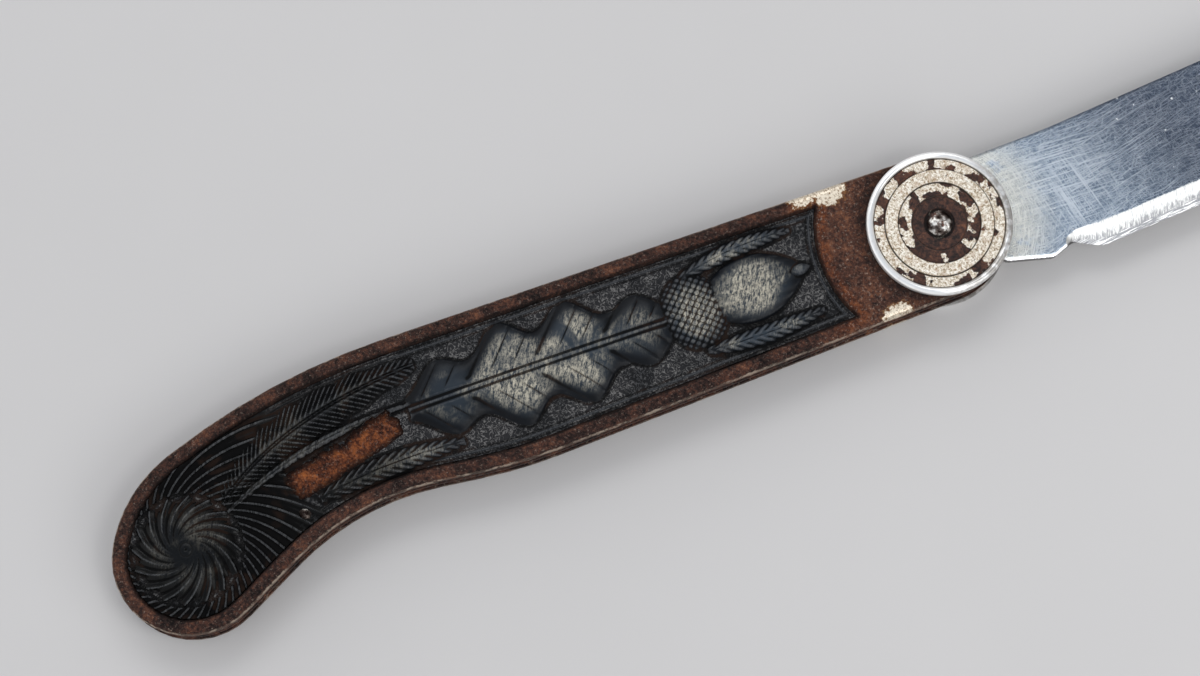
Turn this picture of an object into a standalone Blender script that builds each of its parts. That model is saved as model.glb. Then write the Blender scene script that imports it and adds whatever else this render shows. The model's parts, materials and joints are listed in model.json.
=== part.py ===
"""Folding pocket knife, lying open on its side.

Each side of the handle is a stamped steel shell: a raised hollow rim round a tray, and a plain
front plate over the pivot. A moulded relief panel lies in each tray. Two flat liners between the
shells hold the blade and a leaf spring, whose nose bears on the blade's tang. One rivet runs
through the whole knife at the pivot, under a ringed cap on each side.

Frame: metres, +X along the open blade, +Y towards the back of the handle, +Z up. The pivot's
axis is x = 0, y = 0, and the knife rests on z = 0. Heights below are counted from the middle
plane of the blade, and each object stands at HALF_STACK, the height of that plane.
"""

import math

import bmesh
import bpy
from mathutils import Matrix, Vector

# Clearances
FACE_GAP = 0.0001        # between flat faces that lie on each other
BORE_GAP = 0.0001        # all round a pin in its hole
STOP_GAP = 0.0003        # between the blade and what stops it

# Handle outline
PIVOT_TO_BUTT = 0.1055
FRONT_RADIUS = 0.0084    # round front end, about the pivot
CROWN_FROM_BUTT = 0.0248
CROWN_HEIGHT = 0.0111
CROWN_RADIUS = 0.0820
BELLY_FROM_BUTT = 0.0492
BELLY_DEPTH = 0.0090
BELLY_RADIUS = 0.0600
WAIST_FROM_BUTT = 0.0295
WAIST_DEPTH = 0.0060
WAIST_RADIUS = 0.0322
BUTT_TOP = (0.0046, 0.0046)          # corner over the rounded butt: ahead of it, and its height
BUTT_TOP_RADIUS = 0.0166
BUTT_BOTTOM = (0.0135, 0.0268)       # corner under it: behind the butt, and its depth
BUTT_BOTTOM_RADIUS = 0.0092

# Stack of plates, from the blade outwards
BLADE_THICKNESS = 0.0016
BLADE_PLAY = 0.0001
LINER_THICKNESS = 0.0005
LINER_INSET = 0.0002
SHEET = 0.0005           # wall of the stamped shells
SHELL_HEIGHT = 0.0016
SHOULDER_RADIUS = 0.0006
RIM_WIDTH = 0.0017
RIM_LIP = 0.0003         # rounding of the tray's edge
TRAY_FRONT = 0.0147      # from the pivot to the tray's front wall

# Relief panel
PANEL_GAP = 0.0002
PANEL_GROUND = 0.0004
RELIEF_RISE = 0.0011
FORM_ROOT = 0.0002       # how deep the relief forms stand in the panel's ground
ROSETTE_FROM_BUTT = 0.0092
ROSETTE_DEPTH = 0.0047
ROSETTE_RADIUS = 0.0066
ROSETTE_FLUTES = 16
ROSETTE_BOSS = 0.0020
FLUTE_SHARE = 0.10       # depth of the flutes, as a share of the radius
OPENING_FROM_BUTT = 0.0302
OPENING_DEPTH = 0.0007
OPENING_LENGTH = 0.0150
OPENING_WIDTH = 0.0038
OPENING_TILT = 13.0      # degrees
OPENING_CORNER = 0.0013
FLUTE_POINTS = 4         # points of the outline for each flute
STUD_FROM_BUTT = 0.0235
STUD_DEPTH = 0.0056
STUD_RADIUS = 0.00045
STUD_HEAD_RADIUS = 0.00075
STUD_HEAD_RISE = 0.0004

# Pivot
RIVET_RADIUS = 0.00125
RIVET_HEAD_RADIUS = 0.00155
RIVET_DOME = 0.0006
RIVET_EDGE = 0.0002
DOME_STEPS = 4
SPACER_RADIUS = 0.0065
CAP_RADIUS = 0.0087
CAP_BEAD = 0.0009
CAP_RING_OUTER = 0.0065
CAP_RING_INNER = 0.0049
CAP_DISH_RADIUS = 0.0033
CAP_RING_HEIGHT = 0.0009
CAP_STEP_HEIGHT = 0.00055
CAP_DISH_HEIGHT = 0.0004
CAP_SLOPE = 0.0002

# Blade
TIP_ROOM = 0.0135        # from the folded tip to the butt, along the handle
TIP_DEPTH = 0.0015
TIP_RADIUS = 0.00025
SPINE_HEIGHT = 0.0067
SPINE_BEND = 0.0160
SPINE_BEND_RADIUS = 0.0600
SPINE_CROWN_HEIGHT = 0.0087
SPINE_CROWN_FROM_TIP = 0.0400
SPINE_CROWN_RADIUS = 0.0700
TANG_FLAT = 0.0045
TANG_CORNER_RADIUS = 0.0039
SHOULDER_OFFSET = 0.0045
SHOULDER_CORNER_RADIUS = 0.0006
TANG_ROOT = 0.0056
TANG_ROOT_RADIUS = 0.0005
RICASSO_START = (0.0059, -0.0065)
RICASSO_START_RADIUS = 0.0012
KICK = (0.0118, -0.00815)
KICK_RADIUS = 0.0008
NOTCH = (0.0146, -0.0072)
NOTCH_RADIUS = 0.0007
HEEL = (0.0178, -0.0089)
HEEL_RADIUS = 0.0025
EDGE_BEND_FROM_TIP = 0.0220
EDGE_BEND_DEPTH = 0.0068
EDGE_BEND_RADIUS = 0.0900
GRIND_WIDTH = 0.0027
EDGE_THICKNESS = 0.0002
GRIND_OVERRUN = 0.9      # how far the wedge goes past the edge, as a share of where it runs out
GRIND_START = 0.0149
NICK_PLACE = (0.0420, 0.0056)
NICK_LENGTH = 0.0120
NICK_WIDTH = 0.0014
NICK_DEPTH = 0.0004

# Back spring and pins
SPRING_INSET = 0.0003
SPRING_LEAF = 0.0020     # height of the leaf, seen from the side of the knife
NOSE_BACK = 0.0049
NOSE_CORNER_RADIUS = 0.0004
LEAF_END = 0.0440        # from the pivot to where the leaf thickens
LEAF_END_RADIUS = 0.0150
BLADE_ROOM = 0.0010
ROOM_RADIUS = 0.0015
PIN_RADIUS = 0.0010
MIDDLE_PIN_PLACE = 0.0580
MIDDLE_PIN_INSET = 0.0036
BUTT_PIN_FROM_BUTT = 0.0075
BUTT_PIN_DEPTH = 0.0045

# Relief forms: start, bend and end of the centre line, greatest half width, lobes on each side
# and depth of the notches between them. Lengths are counted from the butt for the rear forms,
# and from the pivot for the front ones.
REAR_FORMS = {
    "plume": ((0.0150, -0.0010), (0.0240, 0.0058), (0.0415, 0.0066), 0.0029, 7, 0.16),
    "stem": ((0.0152, -0.0022), (0.0260, 0.0028), (0.0400, 0.0022), 0.0006, 0, 0.0),
    "low_leaf": ((0.0258, -0.0046), (0.0335, -0.0032), (0.0440, -0.0042), 0.0015, 3, 0.25),
}
FRONT_FORMS = {
    "upper_leaf": ((-0.0310, 0.0049), (-0.0240, 0.0064), (-0.0168, 0.0058), 0.0011, 3, 0.25),
    "lower_leaf": ((-0.0310, -0.0044), (-0.0240, -0.0054), (-0.0163, -0.0046), 0.0012, 3, 0.25),
}
BIG_LEAF_START = (0.0390, 0.0016)    # counted from the butt
BIG_LEAF_END = (-0.0325, 0.0006)     # counted from the pivot
BIG_LEAF_HALF_WIDTH = 0.0068
BIG_LEAF_LOBES = 4
BIG_LEAF_NOTCH = 0.40
ACORN_START = (-0.0300, 0.0006)
ACORN_END = (-0.0172, 0.0010)
ACORN_HALF_WIDTH = 0.0041
CUP_START = (-0.0345, 0.0005)
CUP_END = (-0.0272, 0.0007)
CUP_HALF_WIDTH = 0.0047

# Shapes of the forms, as shares of their length, width and rise
LEAF_FOOT = 0.06         # a leaf swells like a half wave, less a little at its foot and tip
LEAF_TIP = 0.04
LEAF_FULLNESS = 0.6      # the smaller, the fuller towards the ends
LEAF_END_RISE = 0.35
NUT_FOOT = 0.04
ACORN_FULLNESS = 0.75
CUP_FULLNESS = 0.45
ROSETTE_LEVELS = ((1.0, 0.0), (0.93, 0.5), (0.70, 0.88))     # reach and height of each ring
BOSS_SHOULDER = 0.9      # height of the boss's edge
BOSS_ROUNDING = 0.25
FORM_FACETS = 6          # across a form
STATIONS_A_LOBE = 4
PLAIN_STATIONS = 7

# Fineness of the facets
CHORD_ERROR = 0.00004
TURN_STEPS = 40
SPACER_STEPS = 24
RIVET_STEPS = 24
PIN_STEPS = 20
STUD_STEPS = 16
NICK_STEPS = 220
SHOULDER_STEPS = 3
LIP_STEPS = 2
FILL_SCALE = 1000.0
LEAST_STEP = 0.00012     # between neighbouring points of an outline
MERGE_DISTANCE = 0.000001
USED_SIDE = 0.999        # share of a side that the roundings at its two ends may use
LEAST_MITRE = 0.3        # keeps sharp corners from running out when an outline is drawn in
CUTTER_CORNER = 0.001
SHARP_ANGLE = 35.0       # degrees

# Places worked out from the sizes
FRONT_TOP = (FRONT_RADIUS, FRONT_RADIUS)
CROWN = (CROWN_FROM_BUTT - PIVOT_TO_BUTT, CROWN_HEIGHT)
TIP = (PIVOT_TO_BUTT - TIP_ROOM, -TIP_DEPTH)
EDGE_BEND = (TIP[0] - EDGE_BEND_FROM_TIP, -EDGE_BEND_DEPTH)
LINER_LOW = BLADE_THICKNESS / 2 + BLADE_PLAY
LINER_HIGH = LINER_LOW + LINER_THICKNESS
SHELL_LOW = LINER_HIGH + FACE_GAP
TRAY_FLOOR = SHELL_LOW + SHEET
RIM_TOP = SHELL_LOW + SHELL_HEIGHT
PLATE_LOW = RIM_TOP - SHEET
PANEL_LOW = TRAY_FLOOR + FACE_GAP
PANEL_TOP = PANEL_LOW + PANEL_GROUND
CAP_LOW = RIM_TOP + FACE_GAP
HALF_STACK = CAP_LOW + CAP_RING_HEIGHT
REACH = BUTT_BOTTOM[1]   # past every side of the handle, for the outlines of cutters
TANG_SWING = math.sqrt(2) * TANG_FLAT - (math.sqrt(2) - 1) * TANG_CORNER_RADIUS

PART_COLLECTION = "folding_pocket_knife"
CUTTER_COLLECTION = "cutters"
RELIEF_COLLECTION = "relief_forms"


# Scene and materials

def clear_scene():
    for obj in list(bpy.data.objects):
        bpy.data.objects.remove(obj, do_unlink=True)


def collection(name):
    found = bpy.data.collections.get(name)
    if found is None:
        found = bpy.data.collections.new(name)
        bpy.context.scene.collection.children.link(found)
    return found


def material(name, colour, metallic, roughness):
    made = bpy.data.materials.new(name)
    made.use_nodes = True
    shader = made.node_tree.nodes["Principled BSDF"]
    shader.inputs["Base Color"].default_value = (*colour, 1.0)
    shader.inputs["Metallic"].default_value = metallic
    shader.inputs["Roughness"].default_value = roughness
    made.diffuse_color = (*colour, 1.0)
    return made


def add_object(name, mesh, group=PART_COLLECTION):
    """Puts a mesh in the scene as one object, at the height of the knife's middle plane."""
    obj = bpy.data.objects.new(name, mesh)
    obj.location.z = HALF_STACK
    collection(group).objects.link(obj)
    if group != PART_COLLECTION:
        obj.hide_render = True
        obj.display_type = "WIRE"
    return obj


def mesh_from(bm, name):
    bmesh.ops.recalc_face_normals(bm, faces=bm.faces)
    mesh = bpy.data.meshes.new(name)
    bm.to_mesh(mesh)
    bm.free()
    return mesh


def smooth(obj):
    """Shades the round faces smooth and leaves the edges round the flat ones sharp."""
    obj.data.shade_smooth()
    obj.data.set_sharp_from_angle(angle=math.radians(SHARP_ANGLE))


# Outlines, as lists of points in plan

def arc(centre, radius, start, end):
    """Points on an arc, ends included, as many as keep its facets true to the round."""
    step = 2 * math.acos(1 - min(CHORD_ERROR / radius, 0.5))
    count = max(1, math.ceil(abs(end - start) / step))
    angles = [start + (end - start) * i / count for i in range(count + 1)]
    return [(centre[0] + radius * math.cos(a), centre[1] + radius * math.sin(a)) for a in angles]


def half_angle(before, corner, after):
    """Half the angle between a corner's two sides."""
    here = Vector(corner)
    return (Vector(before) - here).angle(Vector(after) - here) / 2


def rounded_corner(before, corner, after, radius):
    """The arc that rounds one corner."""
    here = Vector(corner)
    back = (Vector(before) - here).normalized()
    ahead = (Vector(after) - here).normalized()
    half = half_angle(before, corner, after)
    centre = here + (back + ahead).normalized() * (radius / math.sin(half))
    first = here + back * (radius / math.tan(half)) - centre
    last = here + ahead * (radius / math.tan(half)) - centre
    start = math.atan2(first.y, first.x)
    turn = math.atan2(first.cross(last), first.dot(last))
    return arc(centre, radius, start, start + turn)


def rounded_outline(corners):
    """A closed outline from corners given as (x, y, radius).

    Where two roundings would meet on a side, both give way in proportion.
    """
    count = len(corners)
    places = [Vector(corner[:2]) for corner in corners]
    used = []
    for i, corner in enumerate(corners):
        half = half_angle(places[i - 1], places[i], places[(i + 1) % count])
        used.append(corner[2] / math.tan(half))
    points = []
    for i, corner in enumerate(corners):
        after = (i + 1) % count
        behind = (places[i] - places[i - 1]).length / (used[i - 1] + used[i])
        ahead = (places[after] - places[i]).length / (used[i] + used[after])
        radius = corner[2] * min(1.0, USED_SIDE * behind, USED_SIDE * ahead)
        points += rounded_corner(places[i - 1], places[i], places[after], radius)
    return well_spaced(points)


def well_spaced(points):
    """The outline without points that all but repeat the one before."""
    return [point for i, point in enumerate(points)
            if math.dist(point, points[i - 1]) > LEAST_STEP]


def circle(centre, radius, steps=PIN_STEPS):
    turn = 2 * math.pi / steps
    return [(centre[0] + radius * math.cos(turn * i), centre[1] + radius * math.sin(turn * i))
            for i in range(steps)]


def drawn_in(points, inset):
    """The outline moved inwards all round, or outwards where inset is negative."""
    moved = []
    count = len(points)
    for i in range(count):
        here = Vector(points[i])
        back = (here - Vector(points[i - 1])).normalized()
        ahead = (Vector(points[(i + 1) % count]) - here).normalized()
        normal = Vector((-back.y - ahead.y, back.x + ahead.x)).normalized()
        stretch = 1 / max(LEAST_MITRE, normal.dot(Vector((-back.y, back.x))))
        moved.append(tuple(here + normal * inset * stretch))
    return moved


def circle_crossing(inside, outside, radius):
    """Where a line between two points crosses a circle about the pivot."""
    run = outside - inside
    a = run.dot(run)
    b = inside.dot(run)
    c = inside.dot(inside) - radius * radius
    root = math.sqrt(b * b - a * c)
    shares = [(-b + root) / a, (-b - root) / a]
    return inside + run * next(share for share in shares if 0 <= share <= 1)


def behind_front_wall(points, radius):
    """The part of an outline past a circle about the pivot, closed along that circle."""
    kept = []
    count = len(points)
    ends = []
    for i in range(count):
        here = Vector(points[i])
        after = Vector(points[(i + 1) % count])
        if here.length > radius:
            kept.append((i, tuple(here)))
        if (here.length > radius) != (after.length > radius):
            ends.append((i, circle_crossing(here, after, radius)))
    top = max(ends, key=lambda end: end[1].y)
    low = min(ends, key=lambda end: end[1].y)
    run = [point for i, point in kept if top[0] < i <= low[0]]
    start = math.atan2(low[1].y, low[1].x) % (2 * math.pi)
    end = math.atan2(top[1].y, top[1].x)
    return well_spaced(run + arc((0, 0), radius, start, end))


def handle_outline():
    butt = -PIVOT_TO_BUTT
    return rounded_outline([
        (*FRONT_TOP, FRONT_RADIUS),
        (*CROWN, CROWN_RADIUS),
        (butt + BUTT_TOP[0], BUTT_TOP[1], BUTT_TOP_RADIUS),
        (butt - BUTT_BOTTOM[0], -BUTT_BOTTOM[1], BUTT_BOTTOM_RADIUS),
        (butt + WAIST_FROM_BUTT, -WAIST_DEPTH, WAIST_RADIUS),
        (butt + BELLY_FROM_BUTT, -BELLY_DEPTH, BELLY_RADIUS),
        (FRONT_RADIUS, -FRONT_RADIUS, FRONT_RADIUS),
    ])


def back_line(x):
    """Height of the handle's straight back at x."""
    share = (x - FRONT_TOP[0]) / (CROWN[0] - FRONT_TOP[0])
    return FRONT_TOP[1] + share * (CROWN[1] - FRONT_TOP[1])


def leaf_line(x):
    """Height of the spring leaf's inner edge at x."""
    return back_line(x) - SPRING_INSET - SPRING_LEAF


def folding_angle():
    """How far the blade turns until its kick meets the spring leaf."""
    slope = math.atan2(leaf_line(0) - leaf_line(-1), 1)
    reach = math.hypot(*KICK)
    height = (leaf_line(0) - FACE_GAP) * math.cos(slope)
    folded = math.pi + slope - math.asin(height / reach)
    return folded - math.atan2(KICK[1], KICK[0]) - 2 * math.pi


def folded(point):
    """Where a point of the open blade lies when the blade is folded."""
    turn = folding_angle()
    x, y = point
    return (x * math.cos(turn) - y * math.sin(turn), x * math.sin(turn) + y * math.cos(turn))


# Solids

def loft(name, sections, group=PART_COLLECTION):
    """A solid skin over sections of equal numbers of points, closed at its two ends."""
    bm = bmesh.new()
    rings = [[bm.verts.new(point) for point in section] for section in sections]
    count = len(rings[0])
    for low, high in zip(rings, rings[1:]):
        for i in range(count):
            j = (i + 1) % count
            bm.faces.new((low[i], low[j], high[j], high[i]))
    bm.faces.new(rings[0])
    bm.faces.new(rings[-1])
    return add_object(name, mesh_from(bm, name), group)


def stacked(name, outline, levels, group=PART_COLLECTION):
    """A solid from one outline, drawn in by a given inset at each height."""
    sections = []
    for inset, height in levels:
        points = drawn_in(outline, inset) if inset else outline
        sections.append([(x, y, height) for x, y in points])
    return loft(name, sections, group)


def plate(name, loops, low, high, group=PART_COLLECTION):
    """A flat plate: the first loop is its outline and the others are holes through it.

    The curve is filled at FILL_SCALE times its size, where the fill's own merge distance is small
    beside the thinnest web.
    """
    curve = bpy.data.curves.new(name, "CURVE")
    curve.dimensions = "2D"
    curve.fill_mode = "BOTH"
    curve.extrude = (high - low) / 2 * FILL_SCALE
    for loop in loops:
        spline = curve.splines.new("POLY")
        spline.points.add(len(loop) - 1)
        for point, (x, y) in zip(spline.points, loop):
            point.co = (x * FILL_SCALE, y * FILL_SCALE, 0, 1)
        spline.use_cyclic_u = True
    flat = bpy.data.objects.new(name + "_outline", curve)
    bpy.context.scene.collection.objects.link(flat)
    mesh = evaluated_mesh(flat)
    bpy.data.objects.remove(flat, do_unlink=True)
    bpy.data.curves.remove(curve)
    mesh.transform(Matrix.Translation((0, 0, (low + high) / 2)) @ Matrix.Scale(1 / FILL_SCALE, 4))
    bm = bmesh.new()
    bm.from_mesh(mesh)
    bpy.data.meshes.remove(mesh)
    bmesh.ops.remove_doubles(bm, verts=bm.verts, dist=MERGE_DISTANCE)
    return add_object(name, mesh_from(bm, name), group)


def turned(name, profile, steps, closed, group=PART_COLLECTION):
    """A turned solid from a profile of (radius, height), run down its outer side."""
    bm = bmesh.new()
    verts = [bm.verts.new((radius, 0, height)) for radius, height in profile]
    for a, b in zip(verts, verts[1:]):
        bm.edges.new((a, b))
    if closed:
        bm.edges.new((verts[-1], verts[0]))
    mesh = bpy.data.meshes.new(name)
    bm.to_mesh(mesh)
    bm.free()
    obj = add_object(name, mesh, group)
    screw = obj.modifiers.new("turn", "SCREW")
    screw.axis = "Z"
    screw.steps = steps
    screw.render_steps = steps
    screw.use_merge_vertices = True
    screw.merge_threshold = MERGE_DISTANCE
    screw.use_smooth_shade = True
    obj.modifiers.new("flat_faces", "WEIGHTED_NORMAL")
    return obj


def cylinder(name, centre, radius, low, high, group=CUTTER_COLLECTION):
    """A round bar standing across the knife."""
    bm = bmesh.new()
    bmesh.ops.create_cone(bm, cap_ends=True, segments=PIN_STEPS, radius1=radius, radius2=radius,
                          depth=high - low)
    bmesh.ops.translate(bm, verts=bm.verts, vec=(0, 0, (low + high) / 2))
    bar = add_object(name, mesh_from(bm, name), group)
    bar.location.xy = centre
    return bar


def dome(radius, rise, seat):
    """Profile of a domed head from its middle to its edge, which lies at seat."""
    ball = (radius ** 2 + rise ** 2) / (2 * rise)
    half = math.asin(radius / ball)
    low = ball * math.cos(half)
    angles = [half * i / DOME_STEPS for i in range(DOME_STEPS + 1)]
    return [(ball * math.sin(a), seat + ball * math.cos(a) - low) for a in angles]


def quarter_round(radius, top, steps, side=1):
    """Levels of a rounded shoulder; side -1 rounds the edge of a recess instead."""
    levels = []
    for i in range(steps + 1):
        angle = math.pi / 2 * i / steps
        inset = radius * (1 - math.cos(angle))
        levels.append((side * inset, top - radius * (1 - math.sin(angle))))
    return levels


def combine(target, tool, operation):
    modifier = target.modifiers.new(tool.name, "BOOLEAN")
    modifier.solver = "EXACT"
    modifier.operation = operation
    modifier.object = tool


def evaluated_mesh(obj):
    bpy.context.view_layer.update()
    graph = bpy.context.evaluated_depsgraph_get()
    return bpy.data.meshes.new_from_object(obj.evaluated_get(graph))


def mirrored(name, source):
    """The same piece on the rear side of the knife."""
    mesh = evaluated_mesh(source)
    mesh.name = name
    mesh.transform(Matrix.Scale(-1, 4, Vector((0, 0, 1))))
    mesh.flip_normals()
    obj = add_object(name, mesh)
    obj.location.xy = source.location.xy
    return obj


# Pieces

def pin_places():
    butt_pin = (BUTT_PIN_FROM_BUTT - PIVOT_TO_BUTT, -BUTT_PIN_DEPTH)
    middle_pin = (-MIDDLE_PIN_PLACE, back_line(-MIDDLE_PIN_PLACE) - MIDDLE_PIN_INSET)
    return {"middle_pin": middle_pin, "butt_pin": butt_pin}


def stud_place():
    return (STUD_FROM_BUTT - PIVOT_TO_BUTT, -STUD_DEPTH)


def fastener_holes():
    """Round holes for the rivet and the pins, with their clearance."""
    holes = [circle((0, 0), RIVET_RADIUS + BORE_GAP)]
    for place in pin_places().values():
        holes.append(circle(place, PIN_RADIUS + BORE_GAP))
    return holes


def make_liner(outline):
    stud_hole = circle(stud_place(), STUD_RADIUS + BORE_GAP, STUD_STEPS)
    loops = [drawn_in(outline, LINER_INSET), *fastener_holes(), stud_hole]
    return plate("front_liner", loops, LINER_LOW, LINER_HIGH)


def make_shell(outline, tray):
    """Stamped sheet: skirt, rounded shoulder, hollow rim, tray floor and plain front plate."""
    shoulder = quarter_round(SHOULDER_RADIUS, RIM_TOP, SHOULDER_STEPS)
    shell = stacked("front_shell", outline, [(0, SHELL_LOW), *shoulder])
    hollow = plate("rim_hollow", [drawn_in(outline, SHEET)], SHELL_LOW - SHEET, PLATE_LOW,
                   CUTTER_COLLECTION)
    combine(shell, hollow, "DIFFERENCE")
    walls = plate("tray_walls", [drawn_in(tray, -SHEET)], SHELL_LOW, RIM_TOP - SHEET / 2,
                  CUTTER_COLLECTION)
    combine(shell, walls, "UNION")
    high = RIM_TOP + SHEET
    low = SHELL_LOW - SHEET
    lip = quarter_round(RIM_LIP, RIM_TOP, LIP_STEPS, -1)
    recess = stacked("tray_recess", tray, [(0, TRAY_FLOOR), *lip, (-RIM_LIP, high)],
                     CUTTER_COLLECTION)
    combine(shell, recess, "DIFFERENCE")
    bore = cylinder("shell_bore", (0, 0), RIVET_RADIUS + BORE_GAP, low, high)
    combine(shell, bore, "DIFFERENCE")
    for name, place in pin_places().items():
        hole = cylinder("shell_" + name, place, PIN_RADIUS + BORE_GAP, low, high)
        combine(shell, hole, "DIFFERENCE")
    hole = cylinder("shell_stud", stud_place(), STUD_RADIUS + BORE_GAP, low, high)
    combine(shell, hole, "DIFFERENCE")
    return shell


def bent_line(start, bend, end, share):
    """A point on the curve from start to end that a bend point draws aside, and its direction."""
    a, b, c = Vector(start), Vector(bend), Vector(end)
    point = a.lerp(b, share).lerp(b.lerp(c, share), share)
    return point, (b - a).lerp(c - b, share).normalized()


def relief_form(name, line, half_width, rise, stations):
    """A domed form standing on the panel's ground along a centre line.

    half_width and rise give the form's size at each share of the line's length.
    """
    root = PANEL_TOP - FORM_ROOT
    sections = []
    for i in range(stations + 1):
        share = i / stations
        point, along = bent_line(*line, share)
        aside = Vector((-along.y, along.x))
        width = half_width(share)
        ring = []
        for k in range(FORM_FACETS + 1):
            angle = math.pi * k / FORM_FACETS
            place = point + aside * width * math.cos(angle)
            ring.append((place.x, place.y, PANEL_TOP + rise(share) * math.sin(angle)))
        for side in (-1, 1):
            place = point + aside * width * side
            ring.append((place.x, place.y, root))
        sections.append(ring)
    return loft(name, sections, RELIEF_COLLECTION)


def leaf(name, start, bend, end, half_width, lobes, notch):
    """A leaf whose half width swells from its foot, with lobes along its sides."""
    def swell(share):
        return math.sin(math.pi * (LEAF_FOOT + (1 - LEAF_FOOT - LEAF_TIP) * share))

    def width(share):
        dip = notch * (1 + math.cos(2 * math.pi * lobes * share)) / 2
        return half_width * swell(share) ** LEAF_FULLNESS * (1 - dip)

    def rise(share):
        return RELIEF_RISE * (LEAF_END_RISE + (1 - LEAF_END_RISE) * swell(share))

    stations = max(PLAIN_STATIONS, STATIONS_A_LOBE * lobes)
    return relief_form(name, (start, bend, end), width, rise, stations)


def nut(name, start, end, half_width, fullness):
    """A rounded form, fuller towards its ends where fullness is small."""
    def width(share):
        return half_width * math.sin(math.pi * (NUT_FOOT + (1 - 2 * NUT_FOOT) * share)) ** fullness

    def rise(share):
        return RELIEF_RISE * width(share) / half_width

    middle = tuple((Vector(start) + Vector(end)) / 2)
    return relief_form(name, (start, middle, end), width, rise, PLAIN_STATIONS)


def make_rosette():
    """Fluted dome near the butt, with a plain boss in its middle."""
    centre = (ROSETTE_FROM_BUTT - PIVOT_TO_BUTT, -ROSETTE_DEPTH)
    sections = []
    count = ROSETTE_FLUTES * FLUTE_POINTS
    rings = [(1.0, -FORM_ROOT)]
    rings += [(reach, height * RELIEF_RISE) for reach, height in ROSETTE_LEVELS]
    for reach, height in rings:
        ring = []
        for i in range(count):
            angle = 2 * math.pi * i / count
            flute = 1 + FLUTE_SHARE * (math.cos(ROSETTE_FLUTES * angle) - 1) / 2
            radius = ROSETTE_RADIUS * reach * flute
            ring.append((centre[0] + radius * math.cos(angle),
                         centre[1] + radius * math.sin(angle), PANEL_TOP + height))
        sections.append(ring)
    loft("rosette", sections, RELIEF_COLLECTION)
    stacked("rosette_boss", circle(centre, ROSETTE_BOSS), [
        (0, PANEL_TOP),
        (0, PANEL_TOP + BOSS_SHOULDER * RELIEF_RISE),
        (BOSS_ROUNDING * ROSETTE_BOSS, PANEL_TOP + RELIEF_RISE),
    ], RELIEF_COLLECTION)


def make_panel(tray):
    """Moulded panel: a flat ground with rosette, leaves and acorn, and an opening through it."""
    edge = drawn_in(tray, PANEL_GAP)
    left = -PIVOT_TO_BUTT
    slab = [(left, -REACH), (0, -REACH), (0, REACH), (left, REACH)]
    panel = plate("front_inlay", [slab], PANEL_LOW, PANEL_TOP)
    make_rosette()
    for name, (start, bend, end, half_width, lobes, notch) in REAR_FORMS.items():
        line = [(x - PIVOT_TO_BUTT, y) for x, y in (start, bend, end)]
        leaf(name, *line, half_width, lobes, notch)
    for name, form in FRONT_FORMS.items():
        leaf(name, *form)
    foot = (BIG_LEAF_START[0] - PIVOT_TO_BUTT, BIG_LEAF_START[1])
    middle = tuple((Vector(foot) + Vector(BIG_LEAF_END)) / 2)
    leaf("big_leaf", foot, middle, BIG_LEAF_END, BIG_LEAF_HALF_WIDTH, BIG_LEAF_LOBES,
         BIG_LEAF_NOTCH)
    nut("acorn", ACORN_START, ACORN_END, ACORN_HALF_WIDTH, ACORN_FULLNESS)
    nut("acorn_cup", CUP_START, CUP_END, CUP_HALF_WIDTH, CUP_FULLNESS)
    union = panel.modifiers.new("relief", "BOOLEAN")
    union.solver = "EXACT"
    union.operation = "UNION"
    union.operand_type = "COLLECTION"
    union.collection = collection(RELIEF_COLLECTION)
    window = plate("panel_edge", [edge], PANEL_LOW - SHEET, PANEL_TOP + 2 * RELIEF_RISE,
                   CUTTER_COLLECTION)
    combine(panel, window, "INTERSECT")
    opening = rounded_outline([
        (x * OPENING_LENGTH / 2, y * OPENING_WIDTH / 2, OPENING_CORNER)
        for x, y in ((1, 1), (-1, 1), (-1, -1), (1, -1))
    ])
    turn = Matrix.Rotation(math.radians(OPENING_TILT), 2)
    centre = Vector((OPENING_FROM_BUTT - PIVOT_TO_BUTT, -OPENING_DEPTH))
    opening = [tuple(turn @ Vector(point) + centre) for point in opening]
    low = PANEL_LOW - SHEET
    high = PANEL_TOP + 2 * RELIEF_RISE
    hole = plate("panel_opening", [opening], low, high, CUTTER_COLLECTION)
    combine(panel, hole, "DIFFERENCE")
    hole = cylinder("panel_stud", stud_place(), STUD_RADIUS + BORE_GAP, low, high)
    combine(panel, hole, "DIFFERENCE")
    return panel


def make_cap():
    """Round cap with a beaded rim, a raised ring and a dished middle, turned about the pivot."""
    bead = CAP_BEAD / 2
    rim = [(CAP_RADIUS - bead + r, CAP_RING_HEIGHT - bead + z)
           for r, z in arc((0, 0), bead, math.pi, 0)]
    profile = [
        (RIVET_RADIUS + BORE_GAP, 0),
        (RIVET_RADIUS + BORE_GAP, CAP_DISH_HEIGHT),
        (CAP_DISH_RADIUS - CAP_SLOPE, CAP_DISH_HEIGHT),
        (CAP_DISH_RADIUS, CAP_STEP_HEIGHT),
        (CAP_RING_INNER, CAP_STEP_HEIGHT),
        (CAP_RING_INNER + CAP_SLOPE, CAP_RING_HEIGHT),
        (CAP_RING_OUTER - CAP_SLOPE, CAP_RING_HEIGHT),
        (CAP_RING_OUTER, CAP_STEP_HEIGHT),
        (CAP_RADIUS - CAP_BEAD, CAP_STEP_HEIGHT),
        *rim,
        (CAP_RADIUS, 0),
    ]
    return turned("front_pivot_cap", [(r, CAP_LOW + z) for r, z in profile], TURN_STEPS, True)


def make_spacer():
    inner = RIVET_RADIUS + BORE_GAP
    profile = [(inner, PLATE_LOW - FACE_GAP), (SPACER_RADIUS, PLATE_LOW - FACE_GAP),
               (SPACER_RADIUS, SHELL_LOW), (inner, SHELL_LOW)]
    return turned("front_pivot_spacer", profile, SPACER_STEPS, True)


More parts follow.
